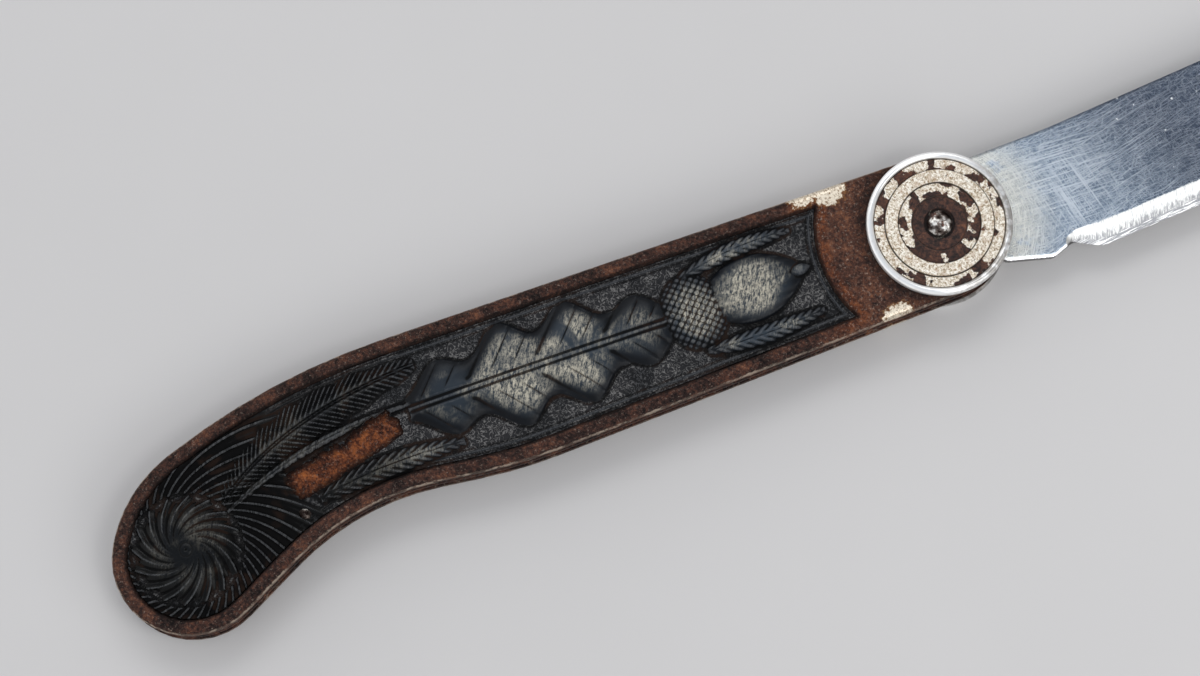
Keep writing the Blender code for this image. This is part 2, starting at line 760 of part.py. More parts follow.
def make_rivet():
    """One rivet through the knife: a domed head in front and a flat peened end behind."""
    seat = CAP_LOW + CAP_DISH_HEIGHT + FACE_GAP
    profile = [
        *dome(RIVET_HEAD_RADIUS, RIVET_DOME, seat),
        (RIVET_RADIUS, seat),
        (RIVET_RADIUS, -seat),
        (RIVET_HEAD_RADIUS, -seat),
        (RIVET_HEAD_RADIUS, RIVET_EDGE - HALF_STACK),
        (RIVET_HEAD_RADIUS - RIVET_EDGE, -HALF_STACK),
        (0, -HALF_STACK),
    ]
    return turned("pivot_rivet", profile, RIVET_STEPS, False)


def make_stud():
    """Small rivet that holds the relief panel down on the tray floor and the liner."""
    seat = PANEL_TOP + FACE_GAP
    profile = [
        *dome(STUD_HEAD_RADIUS, STUD_HEAD_RISE, seat),
        (STUD_RADIUS, seat),
        (STUD_RADIUS, LINER_LOW),
        (0, LINER_LOW),
    ]
    stud = turned("front_inlay_stud", profile, STUD_STEPS, False)
    stud.location.xy = stud_place()
    return stud


def blade_outline():
    return rounded_outline([
        (*TIP, TIP_RADIUS),
        (TIP[0] - SPINE_CROWN_FROM_TIP, SPINE_CROWN_HEIGHT, SPINE_CROWN_RADIUS),
        (SPINE_BEND, SPINE_HEIGHT, SPINE_BEND_RADIUS),
        (SHOULDER_OFFSET, SPINE_HEIGHT, SHOULDER_CORNER_RADIUS),
        (SHOULDER_OFFSET, TANG_FLAT, TANG_ROOT_RADIUS),
        (-TANG_FLAT, TANG_FLAT, TANG_CORNER_RADIUS),
        (-TANG_FLAT, -TANG_FLAT, TANG_CORNER_RADIUS),
        (TANG_ROOT, -TANG_FLAT, TANG_ROOT_RADIUS),
        (*RICASSO_START, RICASSO_START_RADIUS),
        (*KICK, KICK_RADIUS),
        (*NOTCH, NOTCH_RADIUS),
        (*HEEL, HEEL_RADIUS),
        (*EDGE_BEND, EDGE_BEND_RADIUS),
    ])


def edge_path():
    """The cutting edge from the notch to past the tip, with the inward direction at each point."""
    heel = Vector(HEEL)
    bend = Vector(EDGE_BEND)
    tip = Vector(TIP)
    along = (bend - heel).normalized()
    start = heel - along * (HEEL[0] - GRIND_START)
    end = tip + (tip - bend).normalized() * GRIND_WIDTH
    points = [start, *map(Vector, rounded_corner(heel, bend, tip, EDGE_BEND_RADIUS)), end]
    path = []
    for i, point in enumerate(points):
        before = points[max(i - 1, 0)]
        after = points[min(i + 1, len(points) - 1)]
        run = (after - before).normalized()
        path.append((point, Vector((-run.y, run.x))))
    return path


def make_grind(side):
    """Wedge that cuts the ground bevel on one face of the blade."""
    half_edge = EDGE_THICKNESS / 2
    slope = (BLADE_THICKNESS - EDGE_THICKNESS) / 2 / GRIND_WIDTH
    out = GRIND_OVERRUN * half_edge / slope
    high = BLADE_THICKNESS
    section = [(-out, half_edge - out * slope), ((high - half_edge) / slope, high), (-out, high)]
    sections = []
    for point, inward in edge_path():
        ring = [point + inward * inset for inset, height in section]
        sections.append([(p.x, p.y, side * h) for p, (inset, h) in zip(ring, section)])
    return loft("grind_front" if side > 0 else "grind_rear", sections, CUTTER_COLLECTION)


def make_blade():
    """Blade with tang, ricasso, kick, notch, ground bevels and a thumb-nail nick."""
    bore = circle((0, 0), RIVET_RADIUS + BORE_GAP)
    half = BLADE_THICKNESS / 2
    blade = plate("blade", [blade_outline(), bore], -half, half)
    for side in (1, -1):
        combine(blade, make_grind(side), "DIFFERENCE")
    wheel = (NICK_LENGTH ** 2 / 4 + NICK_DEPTH ** 2) / (2 * NICK_DEPTH)
    depth_start = half - NICK_DEPTH
    bm = bmesh.new()
    bmesh.ops.create_cone(bm, cap_ends=True, segments=NICK_STEPS, radius1=wheel, radius2=wheel,
                          depth=NICK_WIDTH)
    place = Matrix.Translation((*NICK_PLACE, depth_start + wheel))
    bmesh.ops.transform(bm, verts=bm.verts, matrix=place @ Matrix.Rotation(math.pi / 2, 4, "X"))
    nick = add_object("nail_nick", mesh_from(bm, "nail_nick"), CUTTER_COLLECTION)
    combine(blade, nick, "DIFFERENCE")
    return blade


def make_spring(outline):
    """Leaf spring and butt block in one plate: the handle's outline less the blade's room."""
    half = BLADE_THICKNESS / 2
    holes = [circle(place, PIN_RADIUS + BORE_GAP) for place in pin_places().values()]
    spring = plate("back_spring", [drawn_in(outline, SPRING_INSET), *holes], -half, half)
    nose_front = SHOULDER_OFFSET - STOP_GAP
    nose_low = TANG_SWING + FACE_GAP
    bend = folded(EDGE_BEND)
    tip_reach = math.hypot(*TIP) + BLADE_ROOM
    tip = folded(TIP)
    room = rounded_outline([
        (REACH, REACH, CUTTER_CORNER),
        (nose_front, REACH, CUTTER_CORNER),
        (nose_front, nose_low, NOSE_CORNER_RADIUS),
        (-NOSE_BACK, nose_low, NOSE_CORNER_RADIUS),
        (-NOSE_BACK, leaf_line(-NOSE_BACK), NOSE_CORNER_RADIUS),
        (-LEAF_END, leaf_line(-LEAF_END), LEAF_END_RADIUS),
        (bend[0], bend[1] + BLADE_ROOM, LEAF_END_RADIUS),
        (-tip_reach, tip[1] + BLADE_ROOM, ROOM_RADIUS),
        (-tip_reach, -REACH, CUTTER_CORNER),
        (REACH, -REACH, CUTTER_CORNER),
    ])
    pocket = plate("blade_room", [room], -BLADE_THICKNESS, BLADE_THICKNESS, CUTTER_COLLECTION)
    combine(spring, pocket, "DIFFERENCE")
    return spring


def make_pins():
    pins = []
    for name, place in pin_places().items():
        pin = cylinder(name, place, PIN_RADIUS, -TRAY_FLOOR, TRAY_FLOOR, PART_COLLECTION)
        smooth(pin)
        pins.append(pin)
    return pins


def main():
    clear_scene()
    steel = material("bare_steel", (0.55, 0.56, 0.57), 1.0, 0.28)
    rusty = material("rusty_plated_steel", (0.22, 0.12, 0.07), 0.4, 0.75)
    black = material("black_moulding", (0.02, 0.021, 0.024), 0.0, 0.38)
    plated = material("plated_steel", (0.72, 0.66, 0.58), 1.0, 0.35)
    outline = handle_outline()
    tray = behind_front_wall(drawn_in(outline, RIM_WIDTH), TRAY_FRONT)
    sides = {
        "shell": (make_shell(outline, tray), rusty),
        "liner": (make_liner(outline), rusty),
        "inlay": (make_panel(tray), black),
        "inlay_stud": (make_stud(), rusty),
        "pivot_cap": (make_cap(), plated),
        "pivot_spacer": (make_spacer(), steel),
    }
    for name, (front, finish) in sides.items():
        rear = mirrored("rear_" + name, front)
        for piece in (front, rear):
            piece.data.materials.clear()
            piece.data.materials.append(finish)
    make_rivet().data.materials.append(rusty)
    make_blade().data.materials.append(steel)
    make_spring(outline).data.materials.append(steel)
    for pin in make_pins():
        pin.data.materials.append(steel)


main()
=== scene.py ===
"""Looks of an open folding pocket knife: rusty stamped shells, black moulded relief panels, ringed
caps and a scratched blade, lying on a pale floor.

Meshes are in metres and materials in millimetres. Heights are counted from the middle plane of the
blade, and side is 1 for the front of the knife and -1 for its rear.
"""

import json
import math
from functools import partialmethod

import bmesh
import bpy
import numpy as np
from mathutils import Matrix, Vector, noise

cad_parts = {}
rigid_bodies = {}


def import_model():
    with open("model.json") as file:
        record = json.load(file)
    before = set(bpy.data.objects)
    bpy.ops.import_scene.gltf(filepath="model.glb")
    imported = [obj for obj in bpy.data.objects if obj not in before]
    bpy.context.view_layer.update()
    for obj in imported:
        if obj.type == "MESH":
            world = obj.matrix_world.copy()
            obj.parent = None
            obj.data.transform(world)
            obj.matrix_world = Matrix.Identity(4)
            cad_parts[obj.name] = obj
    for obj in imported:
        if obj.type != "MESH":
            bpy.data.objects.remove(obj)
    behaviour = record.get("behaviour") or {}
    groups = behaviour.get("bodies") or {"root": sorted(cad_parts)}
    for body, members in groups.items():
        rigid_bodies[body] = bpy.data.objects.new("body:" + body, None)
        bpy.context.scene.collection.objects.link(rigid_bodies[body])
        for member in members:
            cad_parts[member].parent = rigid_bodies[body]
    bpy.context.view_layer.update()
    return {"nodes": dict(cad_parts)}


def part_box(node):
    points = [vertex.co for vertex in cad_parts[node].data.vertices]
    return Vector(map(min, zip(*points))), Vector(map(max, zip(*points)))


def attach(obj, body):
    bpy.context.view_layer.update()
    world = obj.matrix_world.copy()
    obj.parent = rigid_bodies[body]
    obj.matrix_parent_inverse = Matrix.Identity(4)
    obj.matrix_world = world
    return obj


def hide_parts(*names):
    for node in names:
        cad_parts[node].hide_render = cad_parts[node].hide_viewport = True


for obj in list(bpy.data.objects):
    bpy.data.objects.remove(obj, do_unlink=True)

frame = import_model()

# Camera and light
LOOK_POINT = Vector((-0.0422, 0.0021, 0.0041))
CAMERA_PLACE = Vector((-0.0697, -0.0697, 0.3999))
LENS = 102.0
SENSOR = 36.0
LAMPS = (  # name, place, width and height, power
    ("window", (0.04, 0.36, 0.58), (0.50, 0.24), 0.85),
    ("fill", (0.20, -0.44, 0.42), (0.60, 0.30), 0.90),
    ("ceiling", (0.08, -0.19, 0.52), (0.16, 0.14), 0.42),
)
ROOM_TONES = ((0.35, (0.74, 0.74, 0.74, 1)), (0.95, (0.48, 0.51, 0.56, 1)))  # walls, ceiling
PALE_WALL = (-0.45, 0.15, 0.0)  # towards the palest wall, and how much paler it is
FLOOR_HALF = 1.5
FLOOR_DROP = 0.00002

# Nets: widths of cells, steps round a turned piece and along a bent line
SHELL_CELL = 0.00028
PANEL_CELL = 0.00015
BLADE_CELL = 0.00024
TURN_STEPS = 128
LINE_STEPS = 119
WELD = 0.000001
HAIR = 0.00001
POINT = 0.00000001

# Shells
SHOULDER = 0.0006
LIP = 0.0003
DENTS = ((0.0035, 0.00003), (0.0007, 0.000014))  # span and depth
CRUST = 0.00012
CRUST_FADE = 0.0005
CRUMB_SPANS = (0.0011, 0.00055)
LARGE_LOOP = 0.0001  # in square metres, as the next one
SMALL_LOOP = 0.00001
SLICE = 0.0001

# Relief panels, with places counted from the pivot
GROUND = 0.0004
RISE = 0.0011
OPENING_RISE = 0.0008
PANEL_SEAT = 0.0001
SKIN = 0.00001
SKIN_SPAN = 0.0006
BEAD_PLACE = 0.0006
BEAD_WIDTH = 0.0002
BEAD_HEIGHT = 0.00016
BEAD_END = -0.084
RAGGED = (0.0010, 0.0009)  # depth and span of the breaks round the opening
ROSETTE_CENTRE = (-0.0963, -0.0047)
ROSETTE_RADIUS = 0.0066
TWIST = 0.9
FLUTES = 16
FLUTE_DEPTH = 0.00046
THREAD_DEPTH = 0.00014
BOSS_RADIUS = 0.0020
BOSS_RING = 0.0008
RAYS = 44
RAY_HEIGHT = 0.00050
FINE_RAY_HEIGHT = 0.00018
RAYS_END = -0.0770
RAYS_FADE = 0.008
LEAF_FOOT = 0.06
LEAF_TIP = 0.04
FINEST_LINE = 0.00013
WIDE_LEAF = 0.002  # half width from which a leaf's midrib has two lines
PLUME = dict(line=((-0.0905, -0.0010), (-0.0815, 0.0058), (-0.0640, 0.0066)),
             half_width=0.0029, lobes=7, notch=0.16, ribs=36, rib_depth=0.00042, lean=4.2)
STEM = dict(line=((-0.0903, -0.0022), (-0.0795, 0.0028), (-0.0655, 0.0022)),
            half_width=0.0006, ribs=24, rib_depth=0.00016, lean=0.8, sharp=False)
LOW_LEAF = dict(line=((-0.0797, -0.0046), (-0.0720, -0.0032), (-0.0615, -0.0042)),
                half_width=0.0015, ribs=14, rib_depth=0.00026, lean=2.0)
UPPER_LEAF = dict(line=((-0.0310, 0.0049), (-0.0240, 0.0064), (-0.0168, 0.0058)),
                  half_width=0.0011, ribs=12, rib_depth=0.00026, lean=1.6)
LOWER_LEAF = dict(line=((-0.0310, -0.0044), (-0.0240, -0.0054), (-0.0163, -0.0046)),
                  half_width=0.0012, ribs=12, rib_depth=0.00026, lean=1.6)
BIG_LEAF = dict(line=((-0.0665, 0.0016), (-0.0495, 0.0011), (-0.0325, 0.0006)),
                half_width=0.0068, lobes=4, notch=0.40, sharp=False)
BIG_LEAF_RIBS = (dict(ribs=4, rib_depth=0.00034, lean=0.7),
                 dict(ribs=12, rib_depth=0.00012, lean=2.1))
ACORN = dict(ends=((-0.0300, 0.0006), (-0.0172, 0.0010)), half_width=0.0041, fullness=0.75)
NIB = dict(ends=((-0.0190, 0.0008), (-0.0161, 0.0009)), half_width=0.0008, fullness=0.7)
CUP = dict(ends=((-0.0345, 0.0005), (-0.0272, 0.0007)), half_width=0.0047, fullness=0.45)
ACORN_GROOVE = 0.00005
CUP_GROOVE = 0.00016
ACORN_FOOT = 0.04

# Caps, with heights as shares of a cap's own, and the rivet
CAP_RADIUS = 0.0087
CAP_RINGS = (0.0033, 0.0049, 0.0065, 0.0078)
CAP_FINE = 0.00008
BORE = 0.00135
WELL_FOOT = 0.00172
WELL_TOP = 0.0019
WELL_FLOOR = 0.12
WELL_LIP = 0.42
DISH_RIM = 0.44
DISH_GROOVE = 0.36
SUNK_BAND = 0.6
CAP_DIMPLES = (0.000012, 700)  # half depth, and how many fit in a metre
RIVET_HEAD = 0.00152
RIVET_SHANK = 0.00125
RIVET_CHAMFER = 0.0001
RIVET_CROWN = 0.00004
RIVET_DIMPLES = (0.00014, 1300)

# Blade
EDGE_THICKNESS = 0.0002
EDGE_START = 0.0147
EDGE_TOP = -0.0014
GRIND_WIDTH = 0.0027
GRIND_START = 0.0140
GRIND_RUN = 0.0045
GRIND_WOBBLE = 0.10
WOBBLE_SPAN = 0.0035
RUBBED_START = 0.0060
RUBBED_END = 0.0150
RUBBED_TOP = -0.0040
RUBBED_EDGE = 0.0004
RUBBED_DEPTH = 0.00012
NICK_PLACE = (0.0420, 0.0056)
NICK_SIZE = (0.0120, 0.0014)
NICK_DEPTH = 0.0004

# Heights over the blade's middle plane, from the solids
MIDDLE = sum(corner.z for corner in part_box("blade")) / 2
BLADE_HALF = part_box("blade")[1].z - MIDDLE
SHELL_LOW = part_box("front_shell")[0].z - MIDDLE
RIM_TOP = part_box("front_shell")[1].z - MIDDLE
PANEL_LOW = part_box("front_inlay")[0].z - MIDDLE
PANEL_TOP = PANEL_LOW + GROUND
TRAY_FLOOR = PANEL_LOW - PANEL_SEAT
CAP_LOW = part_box("front_pivot_cap")[0].z - MIDDLE
CAP_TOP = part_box("front_pivot_cap")[1].z - MIDDLE
RIVET_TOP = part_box("pivot_rivet")[1].z - MIDDLE


# Nets and their outlines

def section(node, height):
    """Outlines of a CAD node where a level plane cuts it, the largest first."""
    bm = bmesh.new()
    bm.from_mesh(frame["nodes"][node].data)
    bmesh.ops.remove_doubles(bm, verts=bm.verts, dist=WELD)
    cut = bmesh.ops.bisect_plane(bm, geom=bm.verts[:] + bm.edges[:] + bm.faces[:],
                                 plane_co=(0, 0, MIDDLE + height), plane_no=(0, 0, 1))
    left = {item for item in cut["geom_cut"] if isinstance(item, bmesh.types.BMEdge)}
    loops = []
    while left:
        edge = left.pop()
        start, vert = edge.verts
        loop = [start.co.xy]
        while vert is not start:
            loop.append(vert.co.xy)
            edge = next(e for e in vert.link_edges if e in left)
            left.remove(edge)
            vert = edge.other_vert(vert)
        loops.append(np.array(loop))
    bm.free()
    return sorted(loops, key=area, reverse=True)


def area(loop):
    after = np.roll(loop, -1, axis=0)
    return abs(np.sum(loop[:, 0] * after[:, 1] - after[:, 0] * loop[:, 1])) / 2


def edge_distance(points, loops):
    """Distance of points from a region's edge, positive inside, and the nearest point on it."""
    best = np.full(len(points), np.inf)
    foot = points.copy()
    inside = np.zeros(len(points), bool)
    for loop in loops:
        for start, end in zip(loop, np.roll(loop, -1, axis=0)):
            run = end - start
            if run @ run < POINT ** 2:
                continue
            share = np.clip((points - start) @ run / (run @ run), 0, 1)
            place = start + share[:, None] * run
            far = np.sum((points - place) ** 2, axis=1)
            closer = far < best
            best[closer] = far[closer]
            foot[closer] = place[closer]
            level = (start[1] > points[:, 1]) != (end[1] > points[:, 1])
            if run[1] != 0:
                crossing = start[0] + (points[:, 1] - start[1]) * run[0] / run[1]
                inside ^= level & (points[:, 0] < crossing)
    return np.where(inside, 1, -1) * np.sqrt(best), foot


def directed_edges(faces):
    """The edges of groups of faces, each from a corner to the next."""
    return np.concatenate([np.stack([face, np.roll(face, -1, axis=1)], axis=-1).reshape(-1, 2)
                           for face in faces])


def net_over(loops, cell, creases):
    """A fine net over a region: points, their distances from its edge, faces and border edges.

    Points near the region's edge or near a crease are drawn onto it.
    """
    corner = loops[0].min(axis=0) - 2 * cell
    counts = np.ceil((loops[0].max(axis=0) - corner) / cell).astype(int) + 2
    axes = [corner[k] + cell * np.arange(counts[k]) for k in (0, 1)]
    points = np.stack(np.meshgrid(*axes, indexing="ij"), axis=-1).reshape(-1, 2)
    for lines in (*([crease] for crease in creases), loops):
        gap, foot = edge_distance(points, lines)
        near = np.abs(gap) < cell / 2
        points[near] = foot[near]
    gap[near] = 0
    kept = gap >= 0
    index = np.arange(len(points)).reshape(counts)
    cells = np.stack([index[:-1, :-1], index[1:, :-1], index[1:, 1:], index[:-1, 1:]], axis=-1)
    cells = cells.reshape(-1, 4)
    corners_kept = kept[cells].sum(axis=1)
    quads = cells[corners_kept == 4]
    partial = cells[corners_kept == 3]
    triangles = partial[kept[partial]].reshape(-1, 3)
    used, flat = np.unique(np.concatenate([quads.ravel(), triangles.ravel()]), return_inverse=True)
    quads = flat[:quads.size].reshape(-1, 4)
    triangles = flat[quads.size:].reshape(-1, 3)
    points, gap, foot = points[used], gap[used], foot[used]
    edges = directed_edges((quads, triangles))
    border = edges[~np.isin(edges @ (len(points), 1), edges @ (1, len(points)))]
    rim = np.unique(border)
    loose = rim[gap[rim] > 0]
    points[loose] = foot[loose]
    gap[loose] = 0
    return points, gap, (quads, triangles), border


def pressed(name, side, loops, cell, top, low, creases=()):
    """A closed solid over a region, with its heights from top and walls down to low.

    top takes points and their distances from the edge. low is a height, or a function as top is.
    """
    points, gap, faces, border = net_over(loops, cell, creases)
    height = top(points, gap)
    upper = np.column_stack([points, height])
    everything = [face for group in faces for face in group.tolist()]
    if callable(low):
        lower = np.column_stack([points, low(points, gap)])
        below = np.arange(len(points)) + len(points)
        everything += [below[face[::-1]].tolist() for face in everything]
    else:
        rim = np.unique(border)
        lower = np.column_stack([points[rim], np.full(len(rim), low)])
        below = np.zeros(len(points), int)
        below[rim] = np.arange(len(rim)) + len(points)
    everything += np.column_stack([border[:, ::-1], below[border]]).tolist()
    vertices = np.concatenate([upper, lower])
    vertices[:, 2] = MIDDLE + side * vertices[:, 2]
    mesh = bpy.data.meshes.new(name)
    mesh.from_pydata(vertices.tolist(), [], everything)
    bm = bmesh.new()
    bm.from_mesh(mesh)
    open_edges = [edge for edge in bm.edges if edge.is_boundary]
    if open_edges:
        bmesh.ops.triangle_fill(bm, use_beauty=True, edges=open_edges)
    bmesh.ops.recalc_face_normals(bm, faces=bm.faces)
    bm.to_mesh(mesh)
    bm.free()
    facts = {"points": points, "gap": gap, "height": height, "below": below,
             "edges": directed_edges(faces)}
    return mesh, facts


def mark(mesh, name, values, facts):
    """Keeps a value for each point of a pressed mesh; the points below repeat those above."""
    full = np.zeros(len(mesh.vertices), np.float32)
    full[:len(values)] = values
    shared = facts["below"] >= len(values)
    full[facts["below"][shared]] = values[shared]
    mesh.attributes.new(name, "FLOAT", "POINT").data.foreach_set("value", full)


def stand_out(facts, rounds):
    """How far each point stands above the surface around it."""
    start, end = facts["edges"].T
    level = facts["height"]
    count = np.maximum(1, np.bincount(start, minlength=len(level)))
    for _ in range(rounds):
        level = np.bincount(start, weights=level[end], minlength=len(level)) / count
    return facts["height"] - level


def rough(points, span, seed=0.0):
    """Smooth noise from -1 to 1 at points, its bumps about span across."""
    return np.array([noise.noise(Vector((x / span, y / span, seed))) for x, y in points])


def unit(vectors):
    return vectors / np.linalg.norm(vectors, axis=1)[:, None]


def side_name(side, piece):
    return ("front_" if side > 0 else "rear_") + piece


def to_mesh(bm, name):
    mesh = bpy.data.meshes.new(name)
    bm.to_mesh(mesh)
    bm.free()
    return mesh


def add_object(name, data):
    added = bpy.data.objects.new(name, data)
    bpy.context.scene.collection.objects.link(added)
    return added


def finish_piece(name, mesh, body, material, node, smooth_angle=40.0):
    """Adds a piece to the scene. Edges that bend by more than smooth_angle stay sharp."""
    mesh.name = name
    mesh.shade_smooth()
    mesh.set_sharp_from_angle(angle=math.radians(smooth_angle))
    mesh.materials.append(material)
    piece = add_object(name, mesh)
    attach(piece, body)
    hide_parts(node)


# Materials

def tone(red, green, blue):
    """A colour as a screen shows it, from 0 to 255, as the shaders count it."""
    return tuple((value / 255) ** 2.2 for value in (red, green, blue)) + (1.0,)


def mm(length):
    return 1000 * length


TILT = (0.6, 0.45, 0.9)  # turns the noise, so that no row of it lies along a flat


class Nodes:
    """Adds nodes to a tree.

    A value is a number, a colour or what another node gives, and a share goes from 0 to 1.
    """

    def __init__(self, tree):
        self.tree = tree

    def fill(self, node, inputs):
        """A node's outputs, once inputs, by name or number, have their values."""
        for socket, value in inputs.items():
            if isinstance(value, bpy.types.NodeSocket):
                self.tree.links.new(value, node.inputs[socket])
            else:
                node.inputs[socket].default_value = value
        return node.outputs

    def add(self, kind, inputs, **settings):
        node = self.tree.nodes.new(kind)
        for name, value in settings.items():
            setattr(node, name, value)
        return self.fill(node, inputs)

    def math(self, operation, first, *rest):
        """An operation on one value, or on several from left to right."""
        for value in rest or (0.0,):
            first = self.add("ShaderNodeMath", {0: first, 1: value}, operation=operation)[0]
        return first

    plus = partialmethod(math, "ADD")
    less = partialmethod(math, "SUBTRACT")
    times = partialmethod(math, "MULTIPLY")
    most = partialmethod(math, "MAXIMUM")

    def apart(self, first, second):
        return self.math("ABSOLUTE", self.less(first, second))

    def vector(self, operation, first, second=(0.0, 0.0, 0.0)):
        socket = "Scale" if operation == "SCALE" else 1
        results = self.add("ShaderNodeVectorMath", {0: first, socket: second}, operation=operation)
        return results["Value" if operation in ("LENGTH", "DOT_PRODUCT") else "Vector"]

    def split(self, place):
        return self.add("ShaderNodeSeparateXYZ", {0: place})

    def join(self, x, y, z):
        return self.add("ShaderNodeCombineXYZ", {0: x, 1: y, 2: z})[0]

    def rise(self, value, low, high):
        """0 below low, 1 above high, and a smooth step between; falls where high is less."""
        results = (0.0, 1.0) if low < high else (1.0, 0.0)
        inputs = dict(enumerate((value, *sorted((low, high)), *results)))
        return self.add("ShaderNodeMapRange", inputs, interpolation_type="SMOOTHSTEP")[0]

    def band(self, value, low, high, edge):
        """1 between low and high, 0 outside."""
        return self.times(self.rise(value, low - edge, low + edge),
                          self.rise(value, high + edge, high - edge))

    def mix(self, share, first, second):
        """A colour between first and second."""
        return self.add("ShaderNodeMix", {0: share, 6: first, 7: second}, data_type="RGBA")[2]

    def ease(self, share, first, second):
        """A number between first and second."""
        return self.add("ShaderNodeMix", {0: share, 2: first, 3: second}, data_type="FLOAT")[0]

    def ramp(self, value, stops):
        """A colour from stops, each a value and the colour there."""
        node = self.tree.nodes.new("ShaderNodeValToRGB")
        elements = node.color_ramp.elements
        while len(elements) < len(stops):
            elements.new(0.5)
        for element, (position, colour) in zip(elements, stops):
            element.position = position
            element.color = colour
        return self.fill(node, {0: value})[0]


class Shader(Nodes):
    """One procedural material; lengths in it are in millimetres."""

    def __init__(self, name):
        self.material = bpy.data.materials.new(name)
        self.material.use_nodes = True
        super().__init__(self.material.node_tree)
        place = self.add("ShaderNodeTexCoord", {})["Object"]
        self.place = self.vector("SCALE", place, 1000.0)
        self.tilted = self.add("ShaderNodeMapping", {"Vector": self.place, "Rotation": TILT})[0]

    def noise(self, scale, detail=3.0, roughness=0.6, place=None, distortion=0.0):
        inputs = {"Vector": place or self.tilted, "Scale": scale, "Detail": detail,
                  "Roughness": roughness, "Distortion": distortion}
        return self.add("ShaderNodeTexNoise", inputs)[0]

    def attribute(self, name):
        return self.add("ShaderNodeAttribute", {}, attribute_name=name)["Fac"]

    def distance(self, x=0.0, y=0.0):
        """How far a point lies from a place, or from the pivot, in a level plane."""
        offset = self.vector("SUBTRACT", self.place, (x, y, 0.0))
        return self.vector("LENGTH", self.vector("MULTIPLY", offset, (1.0, 1.0, 0.0)))

    def near(self, x, y, reach):
        """1 at a place, falling to 0 at reach from it."""
        return self.rise(self.distance(x, y), reach, 0.0)

    def scratches(self, angle, length, width, share):
        """Thin straight lines at an angle, in degrees, with share of the surface under them."""
        run = math.cos(math.radians(angle)), math.sin(math.radians(angle))
        along = self.vector("DOT_PRODUCT", self.place, (run[0] / length, run[1] / length, 0.0))
        across = self.vector("DOT_PRODUCT", self.place, (-run[1] / width, run[0] / width, 0.0))
        lines = self.noise(1.0, 2.0, 0.6, self.join(along, across, 0.37 * angle + 0.4), 0.15)
        return self.rise(lines, 0.72 - share, 0.78 - share)

    def finish(self, colour, roughness, metallic, height=None, depth=0.05, specular=0.5):
        """Links the results; height is a bump from 0 to 1 and depth its size."""
        inputs = {"Base Color": colour, "Roughness": roughness, "Metallic": metallic,
                  "Specular IOR Level": specular}
        if height is not None:
            bump = {"Strength": 1.0, "Distance": depth / 1000, "Height": height}
            inputs["Normal"] = self.add("ShaderNodeBump", bump)[0]
        self.fill(self.tree.nodes["Principled BSDF"], inputs)
        return self.material


# Rust and steel
# the darkest rust, also the colour of the shade and shadow painted on the shells
DEEP_RUST_AND_SHADE = tone(20, 15, 15)
RUST_TONES = ((0.39, DEEP_RUST_AND_SHADE), (0.465, tone(50, 37, 34)), (0.545, tone(84, 56, 46)),
              (0.66, tone(138, 92, 66)))
ORANGE_TONES = ((0.41, DEEP_RUST_AND_SHADE), (0.49, tone(84, 48, 34)), (0.57, tone(134, 78, 46)),
                (0.66, tone(172, 102, 56)))
SPECK_AND_GLINT = tone(176, 156, 142)
SEAM_DIRT = tone(20, 16, 15)
STAIN = tone(150, 104, 58)
NICKEL = tone(236, 224, 204)
WORN_NICKEL = tone(122, 92, 60)
WORN_EDGE = tone(170, 154, 138)
STEEL = tone(138, 133, 128)
DARK_STEEL = tone(62, 56, 53)
PLATE_START = -17.0  # where the plate ahead of the tray begins
PLATING_SPOTS = ((-10.8, 8.9, 1.0), (-8.6, -9.3, 1.0), (-13.9, 9.8, 0.95))  # place, strength
SPOT_REACH = 4.6


def rust_colour(s, shift=0.0):
    """Mottled rust, from nearly black to orange brown; shift makes it lighter or darker."""
    mottle = s.ease(0.65, s.noise(0.45, 4.0), s.noise(2.4, 8.0, 0.82))
    return s.ramp(s.plus(mottle, shift), RUST_TONES)


def rust_grain(s):
    """Height of rust's crust: blisters with fine grain on them."""
    return s.ease(0.5, s.noise(1.6, 3.0, 0.6), s.noise(7.0, 4.0, 0.7))


def shell_rust(s, x, tray):
    """A shell's rust: orange in the panel's opening, speckled ahead of it, dark in the seams.

    Shade is painted along the opening's edge, and a shadow with grime round the cap; the pale
    specks are partly painted glints.
    """
    plate = s.rise(x, PLATE_START, PLATE_START + 2.5)
    rust = s.mix(s.times(plate, 0.8), rust_colour(s, -0.02), rust_colour(s, 0.025))
    crumbs = s.ease(0.55, s.noise(0.8, 6.0, 0.7), s.noise(2.8, 6.0, 0.85))
    orange = s.ramp(crumbs, ORANGE_TONES)
    front_lip = s.times(s.band(tray, -1.3, -0.05, 0.35),
                        s.rise(x, PLATE_START, PLATE_START + 2.0))
    rust = s.mix(s.times(front_lip, 0.65), rust, orange)
    hole = s.attribute("hole_mm")
    # painted shade: the floor darkens along the opening's edge, under the panel
    orange = s.mix(s.times(s.rise(hole, 1.1, 0.1), 0.85), orange, DEEP_RUST_AND_SHADE)
    rust = s.mix(s.rise(hole, -0.4, 0.0), rust, orange)
    # pale specks ahead of the tray, partly rust and partly painted glints
    specks_and_glints = s.rise(s.noise(3.0, 7.0, 0.85), 0.555, 0.63)
    rust = s.mix(s.times(specks_and_glints, s.ease(plate, 0.35, 0.65)), rust, SPECK_AND_GLINT)
    seam = s.times(s.rise(tray, -0.35, -0.02), s.rise(tray, 1.2, 0.6))
    rust = s.mix(s.times(seam, 0.7), rust, SEAM_DIRT)
    # painted shadow with grime: a darker ring round the cap
    cap_shadow_and_grime = s.times(s.rise(s.distance(), 10.6, 8.9), s.rise(tray, 0.0, -0.1))
    return s.mix(s.times(cap_shadow_and_grime, 0.6), rust, DEEP_RUST_AND_SHADE)


